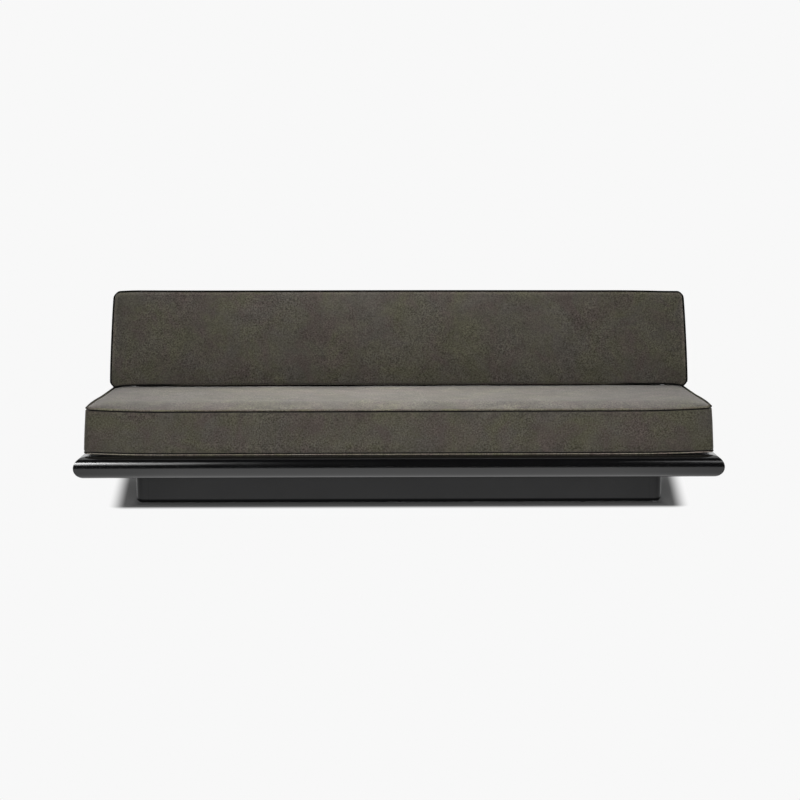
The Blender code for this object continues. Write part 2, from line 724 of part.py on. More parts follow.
def build_back_cushion(fabric, cord, foam, tape, metal):
    behind = slope_y(-BACK_STANDOFF, BACK_SEAM_BASE)
    dip = BACK_THICKNESS * LEAN_SIN
    holder = make_holder("back_cushion", (0.0, behind - dip * LEAN_TAN, BACK_SEAM_BASE - dip), BACK_LEAN)
    back = Cushion(
        half_width=BACK_WIDTH / 2,
        low=BACK_THICKNESS * LEAN_TAN,
        low_slope=-LEAN_TAN,
        high=BACK_HEIGHT,
        thickness=BACK_THICKNESS,
        corner_radius=BACK_CORNER_RADIUS,
        crown=BACK_CROWN,
        belly=PIPING_RADIUS,
        bulge=BACK_BULGE,
        droop=BACK_END_DROOP,
    )
    cover = add_object("back_cover", cushion_shape(back, back_place), fabric, holder, 40.0)
    add_cutter("back_cover_hollow", cushion_shape(back, back_place, COVER_THICKNESS), cover)
    inside = cushion_shape(back, back_place, COVER_THICKNESS + FIT_GAP, True)
    add_object("back_foam_core", inside, foam, holder, 40.0)
    add_piping("back_piping_front", [back_place(p) for p in back.seam(BACK_THICKNESS, 0.0)], cord, holder)
    add_piping("back_piping_rear", [back_place(p) for p in back.seam(0.0, 0.0)], cord, holder)
    full = fullness(BACK_ZIP_DROP, CROWN_REACH)
    place = (0.0, PIPING_RADIUS * full, BACK_HEIGHT - BACK_ZIP_DROP)
    add_zip("back", cover, holder, place, 0.0, BACK_ZIP_LENGTH, tape, metal)


def build_sofa():
    start_empty()
    lacquer = make_material("black_lacquer", (0.011, 0.011, 0.012), 0.22)
    timber = make_material("softwood", (0.56, 0.41, 0.25), 0.7)
    steel = make_material("black_steel", (0.03, 0.03, 0.032), 0.45, 1.0)
    plastic = make_material("glide_nylon", (0.02, 0.02, 0.02), 0.6)
    fabric = make_material("taupe_velvet", (0.079, 0.070, 0.054), 0.9)
    cord = make_material("piping_velvet", (0.068, 0.060, 0.047), 0.85)
    foam = make_material("cushion_foam", (0.72, 0.68, 0.55), 0.95)
    tape = make_material("zip_tape", (0.030, 0.028, 0.024), 0.8)
    metal = make_material("zip_metal", (0.30, 0.27, 0.22), 0.4, 1.0)
    build_plinth(lacquer, timber, plastic)
    build_platform(lacquer, timber, steel)
    build_back_panel(lacquer, steel)
    build_seat_cushion(fabric, cord, foam, tape, metal)
    build_back_cushion(fabric, cord, foam, tape, metal)


build_sofa()
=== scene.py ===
import json
from math import cos, pi, radians, sin, tan

import bmesh
import bpy
from mathutils import Matrix, Vector, noise


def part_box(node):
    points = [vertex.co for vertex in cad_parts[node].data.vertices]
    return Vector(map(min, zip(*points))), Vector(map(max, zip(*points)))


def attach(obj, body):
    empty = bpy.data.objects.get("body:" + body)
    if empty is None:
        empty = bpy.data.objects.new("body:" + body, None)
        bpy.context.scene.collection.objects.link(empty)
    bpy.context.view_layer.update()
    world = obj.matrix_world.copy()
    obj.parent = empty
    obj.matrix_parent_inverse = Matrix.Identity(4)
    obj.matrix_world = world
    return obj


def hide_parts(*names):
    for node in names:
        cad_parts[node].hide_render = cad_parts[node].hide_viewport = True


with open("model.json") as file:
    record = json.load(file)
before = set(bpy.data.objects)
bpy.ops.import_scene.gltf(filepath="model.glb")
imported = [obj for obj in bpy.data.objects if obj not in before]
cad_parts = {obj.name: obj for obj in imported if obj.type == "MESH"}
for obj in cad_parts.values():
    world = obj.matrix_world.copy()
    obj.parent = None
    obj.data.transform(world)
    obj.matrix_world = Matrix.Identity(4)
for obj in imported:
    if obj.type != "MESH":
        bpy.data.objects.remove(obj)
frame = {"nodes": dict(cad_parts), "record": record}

scene = bpy.context.scene
scene.view_settings.view_transform = "Standard"
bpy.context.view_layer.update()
hair = 1e-5  # metres: what is nearer to a plane lies on it
backLean = radians(17.0)  # from upright
print("frame loaded:", len(frame["nodes"]), "nodes")


# helpers for objects


def addObject(name, data):
    made = bpy.data.objects.new(name, data)
    scene.collection.objects.link(made)
    return made


def meshFrom(bm, name):
    mesh = bpy.data.meshes.new(name)
    bm.to_mesh(mesh)
    bm.free()
    return mesh


def addMesh(bm, mesh, matrix=None):
    count = len(bm.verts)
    bm.from_mesh(mesh)
    bm.verts.ensure_lookup_table()
    if matrix is not None:
        bmesh.ops.transform(bm, matrix=matrix, verts=bm.verts[count:])
    bpy.data.meshes.remove(mesh)


# camera at the photograph's place: metres and radians
cameraSettings = {
    "place": (-0.00907, -7.12574, 1.19122), "yaw": 0.00204,
    "pitch": 0.1159,  # downwards
    "roll": -0.00262, "lens": 82.104,
}


def addCamera(s):
    data = bpy.data.cameras.new("camera")
    data.lens = s["lens"]
    data.sensor_width = 36.0
    data.clip_end = 200.0
    camera = addObject("camera", data)
    turn = Matrix.Rotation(-s["yaw"], 4, "Z") @ Matrix.Rotation(pi / 2 - s["pitch"], 4, "X")
    camera.matrix_world = Matrix.Translation(s["place"]) @ turn @ Matrix.Rotation(s["roll"], 4, "Z")
    scene.camera = camera


addCamera(cameraSettings)


# helpers for nodes: the tree is the one that a given socket belongs to


def plug(socket, value):
    if isinstance(value, bpy.types.NodeSocket):
        socket.id_data.links.new(value, socket)
    elif value is not None:
        socket.default_value = value


def addNode(tree, kind, inputs=None, **properties):
    node = tree.nodes.new("ShaderNode" + kind)
    for key, value in properties.items():
        setattr(node, key, value)
    for key, value in (inputs or {}).items():
        plug(node.inputs[key], value)
    return node.outputs


def treeOf(values):
    return next(value.id_data for value in values if isinstance(value, bpy.types.NodeSocket))


def mixColours(factor, first, second, blend="MIX"):
    first, second = ((*value, 1.0)[:4] if isinstance(value, tuple) else value for value in (first, second))
    tree = treeOf((factor, first, second))
    return addNode(tree, "Mix", {0: factor, 6: first, 7: second}, data_type="RGBA", blend_type=blend)[2]


def calc(operation, *values, clamp=False):
    return addNode(treeOf(values), "Math", dict(enumerate(values)), operation=operation, use_clamp=clamp)[0]


def spread(value, low, high, outLow, outHigh, curve="LINEAR"):
    return addNode(value.id_data, "MapRange", {
        "Value": value, "From Min": low, "From Max": high, "To Min": outLow, "To Max": outHigh,
    }, interpolation_type=curve)["Result"]


def cloud(vector, scale, detail, rough, twist=0.0):
    return addNode(vector.id_data, "TexNoise", {
        "Vector": vector, "Scale": scale, "Detail": detail, "Roughness": rough, "Distortion": twist,
    })["Fac"]


def bands(vector, direction, scale, twist, detail, fine=1.0):
    return addNode(vector.id_data, "TexWave", {
        "Vector": vector, "Scale": scale, "Distortion": twist, "Detail": detail, "Detail Scale": fine,
    }, wave_type="BANDS", bands_direction=direction)["Fac"]


def stretched(vector, scale):
    return addNode(vector.id_data, "Mapping", {"Vector": vector, "Scale": scale})["Vector"]


def newGroup(name, inputs, outputs):
    tree = bpy.data.node_groups.new(name, "ShaderNodeTree")
    for way, sockets in (("INPUT", inputs), ("OUTPUT", outputs)):
        for key, kind in sockets.items():
            tree.interface.new_socket(key, in_out=way, socket_type="NodeSocket" + kind)
    return tree, tree.nodes.new("NodeGroupInput").outputs, tree.nodes.new("NodeGroupOutput").inputs


def useGroup(group, inputs):
    return addNode(inputs["Place"].id_data, "Group", inputs, node_tree=group)


def newFinish(name, **values):
    material = bpy.data.materials.new(name)
    material.use_nodes = True
    for key, value in values.items():
        material.node_tree.nodes["Principled BSDF"].inputs[key].default_value = value
    return material, addNode(material.node_tree, "TexCoord")["Object"]


def coverFinish(material, colour, rough, height, strength, distance):
    bump = addNode(material.node_tree, "Bump", {"Height": height, "Strength": strength, "Distance": distance})
    shader = material.node_tree.nodes["Principled BSDF"]
    for key, value in (("Base Color", colour), ("Roughness", rough), ("Normal", bump["Normal"])):
        plug(shader.inputs[key], value)
    return material


# shared effects


def makeNapGroup():
    tree, given, out = newGroup("brushed nap", {
        "Place": "Vector", **dict.fromkeys(("Olive", "Taupe", "Russet"), "Color"),
        **dict.fromkeys(("Patch", "Grain", "Specks", "Brushed", "Depth"), "Float"),
    }, {"Color": "Color", "Height": "Float", "Rough": "Float"})

    def patches(offset, scale, detail, rough, twist):
        moved = addNode(tree, "VectorMath", {0: given["Place"], 1: offset}, operation="ADD")[0]
        return cloud(moved, calc("MULTIPLY", given["Patch"], scale), detail, rough, twist)

    broad = patches((0.0, 0.0, 0.0), 1.0, 7.0, 0.62, 0.8)
    warm = patches((3.7, 1.9, 5.3), 1.4, 7.0, 0.66, 0.8)
    lie = patches((9.1, 4.4, 2.2), 1.5, 7.0, 0.62, 1.2)  # which way the nap lies
    crush = patches((2.9, 7.7, 4.1), 5.5, 4.0, 0.6, 0.6)  # small crushed spots
    wearAndHighlight = patches((6.3, 8.8, 1.7), 1.2, 4.0, 0.6, 0.4)  # where it lies flat and shows no specks
    base = mixColours(spread(broad, 0.4, 0.6, 0.0, 1.0), given["Olive"], given["Taupe"])
    base = mixColours(spread(warm, 0.47, 0.63, 0.0, 0.9), base, given["Russet"])
    split = addNode(tree, "SeparateXYZ", {0: given["Place"]})
    drawn = calc("MULTIPLY", split[1], given["Depth"])  # stroked front to rear
    stroked = addNode(tree, "CombineXYZ", {0: split[0], 1: drawn, 2: split[2]})[0]
    grain = cloud(stroked, given["Grain"], 2.0, 0.6)
    fibre = cloud(stroked, calc("MULTIPLY", given["Grain"], 3.7), 2.0, 0.6)
    specks = calc("MULTIPLY", spread(wearAndHighlight, 0.4, 0.6, 0.6, 1.1), given["Specks"])
    shade = calc("MULTIPLY_ADD", spread(grain, 0.32, 0.66, -1.0, 0.85), specks, 1.0)
    shade = calc("MULTIPLY", shade, spread(fibre, 0.3, 0.7, 0.8, 1.2))
    stroke = calc("ADD", spread(lie, 0.38, 0.62, -1.0, 1.0), spread(crush, 0.36, 0.64, -0.5, 0.5))
    shade = calc("MULTIPLY", shade, calc("MULTIPLY_ADD", stroke, given["Brushed"], 1.0))
    grey = addNode(tree, "CombineColor", {0: shade, 1: shade, 2: shade})[0]
    plug(out["Color"], mixColours(1.0, base, grey, "MULTIPLY"))
    plug(out["Height"], calc("MULTIPLY_ADD", fibre, 0.35, calc("MULTIPLY", grain, 0.65)))
    plug(out["Rough"], spread(broad, 0.3, 0.7, 0.82, 0.95))
    return tree


def makeLacquerGroup():
    tree, given, out = newGroup("lacquer skin", {"Place": "Vector", "Smooth": "Float", "Haze": "Float"},
                                {"Dust": "Float", "Rough": "Float", "Height": "Float"})
    place = given["Place"]
    haze = spread(cloud(place, 9.0, 5.0, 0.62), 0.38, 0.7, 0.0, 1.0)
    specks = spread(cloud(place, 700.0, 2.0, 0.5), 0.66, 0.76, 0.0, 1.0)
    plug(out["Rough"], calc("MULTIPLY_ADD", haze, given["Haze"], given["Smooth"]))
    plug(out["Dust"], calc("MULTIPLY", specks, haze))
    plug(out["Height"], cloud(place, 160.0, 2.0, 0.4))
    return tree


def makeGrainGroup():
    tree, given, out = newGroup("timber grain", {"Place": "Vector", "Pale": "Color", "Dark": "Color"},
                                {"Color": "Color", "Height": "Float"})
    place = given["Place"]
    bent = cloud(place, 2.2, 3.0, 0.5)
    wave = bands(place, "DIAGONAL", 16.0, 7.0, 3.0, 1.2)
    fibre = cloud(stretched(place, (12.0, 12.0, 260.0)), 4.0, 3.0, 0.6)
    factor = calc("MULTIPLY_ADD", wave, 0.55, calc("MULTIPLY", fibre, 0.35), clamp=True)
    factor = calc("MULTIPLY_ADD", bent, 0.25, factor, clamp=True)
    plug(out["Color"], mixColours(factor, given["Pale"], given["Dark"]))
    plug(out["Height"], fibre)
    return tree


napGroup = makeNapGroup()
lacquerGroup = makeLacquerGroup()
grainGroup = makeGrainGroup()

# finishes, one for each slot of the record
finishSettings = {
    "olive": (0.088, 0.083, 0.057), "taupe": (0.089, 0.081, 0.069), "russet": (0.084, 0.068, 0.06),
    # the near-black colour is painted shade: in the seams, on the cords' shaded sides, at the back's foot and the
    # seat's ends
    "cordLighter": 1.15, "paintedDark": (0.004, 0.004, 0.003),
    "highlightPale": 2.7,  # times as pale where a highlight is painted
    "grain": 170.0,
    "level": (0.6, 0.95),  # upward part of the normal, from upright to level faces
    "brushed": (0.08, 0.27),  # on upright and on level faces, as the two below
    "specks": (0.52, 0.78), "depth": (1.0, 0.4),
    "black": (0.005, 0.005, 0.0054), "dust": (0.03, 0.029, 0.028),
}


def makeVelvet(name, lighter, patch, sheen):
    s = finishSettings
    material, place = newFinish(name, **{
        "Specular IOR Level": 0.18, "Sheen Weight": sheen, "Sheen Roughness": 0.42,
        "Sheen Tint": (0.95, 0.915, 0.88, 1.0),
    })
    tree = material.node_tree
    upward = addNode(tree, "SeparateXYZ", {0: addNode(tree, "NewGeometry")["Normal"]})[2]
    given = {"Place": place, "Patch": patch, "Grain": s["grain"]}
    for key in ("olive", "taupe", "russet"):
        given[key.capitalize()] = (*(part * lighter for part in s[key]), 1.0)
    for key in ("brushed", "specks", "depth"):
        given[key.capitalize()] = spread(upward, *s["level"], *s[key])
    nap = useGroup(napGroup, given)
    # painted highlight (paler) and painted shade (near black), each read from an attribute on the pieces
    highlightPale, paintedDark = (addNode(tree, "Attribute", attribute_name=key)["Fac"] for key in ("paintedHighlight", "paintedShade"))
    pale = mixColours(1.0, nap["Color"], (s["highlightPale"],) * 3, "MULTIPLY")
    colour = mixColours(paintedDark, mixColours(highlightPale, nap["Color"], pale), s["paintedDark"])
    return coverFinish(material, colour, nap["Rough"], nap["Height"], 0.35, 0.0012)


def makeLacquer(name, ior, smooth, haze):
    material, place = newFinish(name, IOR=ior)
    skin = useGroup(lacquerGroup, {"Place": place, "Smooth": smooth, "Haze": haze})
    colour = mixColours(skin["Dust"], finishSettings["black"], finishSettings["dust"])
    return coverFinish(material, colour, skin["Rough"], skin["Height"], 0.008, 0.0004)


def makeTimber():
    material, place = newFinish("softwood", Roughness=0.68)
    tones = {"Pale": (0.6, 0.44, 0.27, 1.0), "Dark": (0.36, 0.22, 0.11, 1.0)}
    grain = useGroup(grainGroup, {"Place": place, **tones})
    return coverFinish(material, grain["Color"], None, grain["Height"], 0.25, 0.0006)


def makeSteel():
    material, place = newFinish("black steel", **{"Specular IOR Level": 0.45})
    skin = useGroup(lacquerGroup, {"Place": place, "Smooth": 0.42, "Haze": 0.12})
    pits = cloud(place, 900.0, 2.0, 0.6)
    tint = mixColours(spread(pits, 0.35, 0.65, 0.0, 1.0), (0.018, 0.018, 0.019), (0.034, 0.034, 0.036))
    return coverFinish(material, mixColours(skin["Dust"], tint, (0.07, 0.07, 0.07)), skin["Rough"], pits, 0.3, 0.0004)


def makeMottled(name, pattern, colours, patchy, rough, bump, **values):
    material, place = newFinish(name, **values)
    mottle = pattern(place)
    colour = mixColours(spread(mottle, *patchy, 0.0, 1.0), *colours)
    return coverFinish(material, colour, spread(mottle, *rough), mottle, *bump)


# mottled ones: pattern, both colours, where they change, roughness, bump
finishes = {
    "taupe_velvet": makeVelvet("taupe velvet", 1.0, 5.0, 0.42),
    "piping_velvet": makeVelvet("piping velvet", finishSettings["cordLighter"], 8.0, 0.0),
    "black_lacquer": makeLacquer("black lacquer", 1.7, 0.14, 0.03),
    "softwood": makeTimber(),
    "black_steel": makeSteel(),
    "glide_nylon": makeMottled(
        "glide nylon", lambda place: cloud(stretched(place, (40.0, 260.0, 40.0)), 5.0, 4.0, 0.65),
        ((0.16, 0.16, 0.165), (0.23, 0.228, 0.225)), (0.4, 0.7), (0.3, 0.7, 0.45, 0.7), (0.15, 0.0003),
        **{"Specular IOR Level": 0.35}),
    "zip_tape": makeMottled(
        "zip tape", lambda place: bands(place, "X", 420.0, 0.4, 1.0),
        ((0.016, 0.015, 0.013), (0.042, 0.04, 0.036)), (0.0, 1.0), (0.0, 1.0, 0.75, 0.9), (0.4, 0.0004),
        **{"Specular IOR Level": 0.2, "Sheen Weight": 0.15}),
    "zip_metal": makeMottled(
        "zip metal", lambda place: cloud(place, 240.0, 4.0, 0.6),
        ((0.42, 0.37, 0.29), (0.22, 0.18, 0.13)), (0.35, 0.7), (0.3, 0.7, 0.28, 0.46), (0.08, 0.0002), Metallic=1.0),
    "cushion_foam": makeMottled(
        "cushion foam", lambda place: addNode(place.id_data, "TexVoronoi", {0: place, "Scale": 620.0})["Distance"],
        ((0.8, 0.76, 0.62), (0.6, 0.55, 0.42)), (0.0, 1.0), (0.0, 1.0, 0.95, 0.95), (0.5, 0.001)),
}
satinLacquer = makeLacquer("satin lacquer", 1.44, 0.19, 0.05)  # the plinth is rubbed down
for part in frame["record"]["subparts"]:
    node = frame["nodes"][part["node"]]
    finish = finishes[part["material_slot"]]
    if part["material_slot"] == "black_lacquer" and part["node"].startswith("plinth"):
        finish = satinLacquer
    for holder in node.material_slots:
        holder.material = finish
print("finishes made:", len(finishes))


# helpers for pieces


def newPiece(name, bm, slot, body, replaced=(), smoothAngle=35.0, matrix=None, finish=None):
    if matrix is not None:
        bmesh.ops.transform(bm, matrix=matrix, verts=bm.verts)
    bmesh.ops.recalc_face_normals(bm, faces=bm.faces)
    piece = addObject(name, meshFrom(bm, name))
    dressPiece(piece, slot, body, replaced, smoothAngle, finish)
    return piece


def dressPiece(piece, slot, body, replaced=(), smoothAngle=35.0, finish=None):
    piece.data.materials.clear()
    piece.data.materials.append(finish or finishes[slot])
    piece.data.shade_smooth()
    if smoothAngle:
        piece.data.set_sharp_from_angle(angle=radians(smoothAngle))
        level = piece.modifiers.new("flat faces", "WEIGHTED_NORMAL")
        level.weight = 100
        level.keep_sharp = True
    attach(piece, body)
    if replaced:
        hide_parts(*replaced)


def addBlock(bm, size, centre):
    made = bmesh.ops.create_cube(bm, size=1.0)["verts"]
    bmesh.ops.scale(bm, vec=size, verts=made)
    bmesh.ops.translate(bm, vec=centre, verts=made)


def block(size, centre):
    bm = bmesh.new()
    addBlock(bm, size, centre)
    return bm


def edgesWhere(bm, test):
    return [edge for edge in bm.edges if test((edge.verts[0].co + edge.verts[1].co) / 2, edge)]


def alongAxis(edge, axis):
    run = edge.verts[1].co - edge.verts[0].co
    return abs(run[axis]) > 0.999 * run.length


def sharpEdges(bm):
    return [edge for edge in bm.edges if edge.calc_face_angle(0) > 1.0]


def roundEdges(bm, edges, offset, segments):  # most settings hold the last two as a pair
    return bmesh.ops.bevel(
        bm, geom=edges, offset=offset, offset_type="OFFSET", affect="EDGES", segments=segments,
        profile=0.5, material=-1, clamp_overlap=False,
    )


def slicePlane(bm, place, normal, clear=False, faces=None):
    geom = [*bm.verts, *bm.edges, *bm.faces] if faces is None else [
        *faces, *{e for f in faces for e in f.edges}, *{v for f in faces for v in f.verts}]
    bmesh.ops.bisect_plane(bm, geom=geom, dist=1e-6, plane_co=place, plane_no=normal, clear_outer=clear)


def cutOff(bm, place, normal):
    slicePlane(bm, place, normal, clear=True)
    bmesh.ops.edgeloop_fill(bm, edges=[e for e in bm.edges if e.is_boundary])


def tubeMesh(name, places, radius, closed, sides=2):
    curve = bpy.data.curves.new(name, "CURVE")
    curve.dimensions = "3D"
    curve.bevel_depth = radius
    curve.bevel_resolution = sides
    curve.use_fill_caps = not closed
    spline = curve.splines.new("POLY")
    spline.points.add(len(places) - 1)
    for point, place in zip(spline.points, places):
        point.co = (*place, 1.0)
    spline.use_cyclic_u = closed
    path = addObject(name + "Path", curve)
    mesh = bpy.data.meshes.new_from_object(path.evaluated_get(bpy.context.evaluated_depsgraph_get()))
    mesh.name = name
    bpy.data.objects.remove(path)
    return mesh


# platform rails: a slab with a full half-round edge, tongue behind, mitred at both ends
railSettings = {
    "width": 0.085, "rebate": 0.014, "deck": 0.0183, "soffit": 0.0093, "mitreGap": 0.00015,
    "flat": 0.00002,  # half the strip between both roundings
    "segments": 18,
}


def makeRail(name, node, turn, s):
    low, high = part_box(node)
    along = 0 if abs(turn) in (0, 180) else 1
    length = high[along] - low[along]
    thick = high[2] - low[2]
    body = s["width"] - s["rebate"]
    bm = block((length, body, thick), (0.0, body / 2, thick / 2))
    front = edgesWhere(bm, lambda c, e: c.y < hair and alongAxis(e, 0))
    roundEdges(bm, front, thick / 2 - s["flat"], s["segments"])

    def innerFaces():
        return [f for f in bm.faces if f.calc_center_median().y > body - hair]

    for height in (s["soffit"], thick - s["deck"]):
        slicePlane(bm, (0, 0, height), (0, 0, 1), faces=innerFaces())
    middle = [f for f in innerFaces() if abs(f.calc_center_median().z - thick / 2) < thick / 4]
    tongue = bmesh.ops.extrude_discrete_faces(bm, faces=middle)["faces"]
    bmesh.ops.translate(bm, vec=(0, s["rebate"], 0), verts=[v for f in tongue for v in f.verts])
    for side in (-1, 1):
        cutOff(bm, (side * (length / 2 - s["mitreGap"]), 0, 0), (side, 1, 0))
    outer = {0: (0, low[1]), 180: (0, high[1]), -90: (low[0], 0), 90: (high[0], 0)}[turn]
    matrix = Matrix.Translation((*outer, low[2])) @ Matrix.Rotation(radians(turn), 4, "Z")
    newPiece(name, bm, "black_lacquer", "base", [node], 30.0, matrix)


for side, turn in (("front", 0), ("back", 180), ("left", -90), ("right", 90)):
    makeRail("platform" + side.capitalize() + "Rail", f"platform_{side}_rail", turn, railSettings)
print("platform rails made")

# plinth: corner posts rounded on the outside, and boards; all rounded along the foot
plinthSettings = {"corner": (0.03, 14), "foot": (0.016, 7)}


def makePlinthPiece(name, node, outward, s):
    low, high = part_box(node)
    bm = block([b - a for a, b in zip(low, high)], [(b + a) / 2 for a, b in zip(low, high)])
    sides = [(axis, (high if way > 0 else low)[axis]) for axis, way in outward]

    def outside(spot):
        return [abs(spot[axis] - place) < hair for axis, place in sides]

    if len(sides) > 1:  # a corner post
        corner = edgesWhere(bm, lambda c, e: alongAxis(e, 2) and all(outside(c)))
        roundEdges(bm, corner, *s["corner"])
    foot = edgesWhere(bm, lambda c, e: max(v.co.z for v in e.verts) < low[2] + hair and (
        any(outside(c)) or not (alongAxis(e, 0) or alongAxis(e, 1))))
    roundEdges(bm, foot, *s["foot"])
    newPiece(name, bm, "black_lacquer", "base", [node], 30.0, finish=satinLacquer)


ways = {"front": (1, -1), "back": (1, 1), "left": (0, -1), "right": (0, 1)}  # axis and sign
for row in ("front", "back"):
    for side in ("left", "right"):
        name = "plinthPost" + row.capitalize() + side.capitalize()
        makePlinthPiece(name, f"plinth_post_{row}_{side}", (ways[row], ways[side]), plinthSettings)
for side, way in ways.items():
    makePlinthPiece("plinth" + side.capitalize() + "Board", f"plinth_{side}_board", (way,), plinthSettings)
print("plinth made")

# leaning back panel with a half-round top
panelSettings = {
    "lean": backLean,
    "foot": (0.0, 0.282045, 0.2056),  # front foot on the deck
    "width": 2.16, "length": 0.480246, "thick": 0.025,
    "spare": 0.03,  # cut off along the deck
    "gap": 0.0003, "flat": 0.0001, "topSegments": 10, "arris": (0.002, 2),
}


def leanFrame(origin, lean):
    return Matrix.Translation(origin) @ Matrix.Rotation(-lean, 4, "X")


def makePanel(s):
    length, spare = s["length"], s["spare"]
    bm = block((s["width"], s["thick"], length + spare), (0, s["thick"] / 2, (length - spare) / 2))
    top = edgesWhere(bm, lambda c, e: alongAxis(e, 0) and c.z > length - hair)
    roundEdges(bm, top, s["thick"] / 2 - s["flat"], s["topSegments"])
    ends = edgesWhere(bm, lambda c, e: abs(c.x) > s["width"] / 2 - hair and e.calc_face_angle(0) > 1.0)
    roundEdges(bm, ends, *s["arris"])
    bmesh.ops.transform(bm, matrix=leanFrame(s["foot"], s["lean"]), verts=bm.verts)
    cutOff(bm, (0, 0, s["foot"][2] + s["gap"]), (0, 0, -1))
    newPiece("backPanel", bm, "black_lacquer", "base", ["back_panel"], 30.0)


makePanel(panelSettings)
print("back panel made")

# soft pieces: what both cushions share, then each one
plainCushion = {
    "halfWidth": 1.16,
    **dict.fromkeys(("lowSlope", "highSlope", "topSag", "bottomSag", "bow", "droop", "flare", "lift", "shift"), 0.0),
    "taper": (0.0, 0.0), "hemShade": (0.0, 0.0), "troughShade": (1.0, 1.0), "footTroughShade": 1.0, "cornerDrop": (0.0, 0.0),
}
seatSettings = {
    **plainCushion,
    "name": "seatCushion", "body": "seat_cushion", "nodes": ["seat_cover", "seat_foam_core"],
    "origin": (0.0, -0.439045, 0.2184),  # front of the bottom seam
    "low": 0.0, "high": 0.71141, "thick": 0.1655, "highSlope": tan(backLean), "corner": 0.022,
    "crown": 0.005,  # before swelling
    "belly": 0.0125, "bulge": 0.0015,
    "rearBulge": 0.006,  # held flat by its zip
    "drawEnds": 0.0015, "topSag": 0.0095, "bottomSag": 0.0075,
    "bow": 0.003,  # side seams, upwards
    "flare": 0.009,  # bottom seam wider than the top one
    "capTop": 0.0068, "capSide": 0.0045,
    "lip": 0.0045,  # the top rises this much beside its seam
    # painted highlight on the lips beside the seams
    "lipHighlight": 0.11,
    "notch": (0.0082, 0.0058),  # room for the cord at the top and bottom seams
    "trough": 0.005,
    "coverShade": (0.0, 0.0, 0.23),  # painted shade all over, along the foot, at both ends
    "hemShade": (0.14, 0.1),  # painted shade on the boxing, along the bottom seam and at both ends
    "troughShade": (1.0, 0.65),  # painted shade in the top and bottom seams
    "fill": 0.85, "seed": 3.1,
}
backSettings = {
    **plainCushion,
    "name": "backCushion", "body": "back_cushion", "nodes": ["back_cover", "back_foam_core"],
    "origin": (0.0, 0.3244, 0.358844),  # rear foot
    "lean": backLean, "low": 0.15 * tan(backLean), "high": 0.388, "thick": 0.15,
    "lowSlope": -tan(backLean), "corner": 0.023, "crown": 0.009, "belly": 0.004, "bulge": 0.001,
    "rearBulge": 0.001, "drawEnds": -0.0015, "droop": 0.013,
    "taper": (0.0, -0.006),  # foot and top, each side
    "lift": 0.0035,  # top edge, fuller to the left of the middle
    # the back's lips get a stronger painted highlight
    "shift": 0.0016, "capTop": 0.009, "capSide": 0.003, "lip": 0.003, "lipHighlight": 0.46, "notch": (0.0037, 0.007),
    # painted shade: a little all over the back, more along its foot, and less in its foot trough
    "trough": 0.0022, "coverShade": (0.03, 0.17, 0.0), "footTroughShade": 0.45,
    "cornerDrop": (0.0015, 0.006),  # left and right top corners
    "fill": 0.8, "seed": 8.7,
}
sewingSettings = {
    "cell": 0.0125,  # along a seam
    "cellWide": 0.03,  # across the middle of a panel
    "cellBoxing": 0.018, "nearSeam": (0.0095, 0.017, 0.025, 0.035, 0.048), "cornerSegments": 5,
    "crownReach": 0.1, "sagReach": 0.3, "bowTurn": 6.0,
    "boxReach": 0.05,  # of the boxing's swelling into a panel
    "droopReach": 0.07, "footReach": 0.08, "liftReach": 0.11,
    "liftFall": (0.26, 0.95),  # where it begins, in half widths left of the middle, and how steeply
    "dropReach": (0.13, 0.3), "drawIn": 0.003, "lipReach": 0.016, "looseReach": 0.06, "looseFrom": 0.3,
    "frames": 20,
    "lumps": ((4.0, 0.0014), (16.0, 0.0006)),  # how many and how high
    "coverShadeReach": (0.1, 0.35),  # of the painted shade, from the foot and the ends
    # in order: reach of the boxing's painted shade, foot band, painted highlight beside a lip, and how much painted
    # shade stops it
    "hemShadeReach": (0.04, 0.2), "footBand": 0.012, "besideHighlight": 0.6, "shadeLimit": 0.9, "notchSegments": 4, "drawReach": 0.14,
    "flangeEasing": 0.6, "shadeEasing": 0.75, "outerTurn": (0.57, 0.82), "edgeFade": 0.25, "downward": -0.7,
    "pressedShade": (0.5, 1.0),  # painted shade on the cord at the back's foot, in the middle and near the ends
    "pressedEnds": (0.85, 0.93),
}
clothSettings = {
    "quality": 6, "mass": 0.3, "tension_stiffness": 25.0, "compression_stiffness": 25.0,
    "shear_stiffness": 12.0, "bending_stiffness": 1.0, "use_pressure": True, "uniform_pressure_force": 4.0,
    "vertex_group_mass": "heldGroup", "pin_stiffness": 1.0, "vertex_group_shrink": "looseGroup",
    "shrink_min": 0.0, "shrink_max": -0.05,
}


def clamped(value):
    return min(max(value, 0.0), 1.0)


def fullness(distance, reach):
    return 1.0 - (1.0 - clamped(distance / reach)) ** 2


def nearness(distance, reach):
    return 1.0 - fullness(distance, reach)


def seamSteps(low, high, near, wide):
    steps = [low + d for d in near] + [high - d for d in near]
    start, end = low + near[-1], high - near[-1]
    count = max(round((end - start) / wide), 1)
    return sorted(steps + [start + (end - start) * i / count for i in range(1, count)])


def cutCushion(s, sew):
    width, near = s["halfWidth"], sew["nearSeam"]
    centre = (0, (s["low"] + s["high"]) / 2, s["thick"] / 2)
    bm = block((2 * width, s["high"] - s["low"], s["thick"]), centre)
    roundEdges(bm, [e for e in bm.edges if alongAxis(e, 2)], s["corner"], sew["cornerSegments"])
    for t in seamSteps(0, s["thick"], near[:3], sew["cellBoxing"]):
        slicePlane(bm, (0, 0, t), (0, 0, 1))
    for v in seamSteps(s["low"], s["high"], near, sew["cellWide"]):
        slicePlane(bm, (0, v, 0), (0, 1, 0))
    for x in seamSteps(-width, width, near, sew["cell"]):
        slicePlane(bm, (x, 0, 0), (1, 0, 0))
    return bm


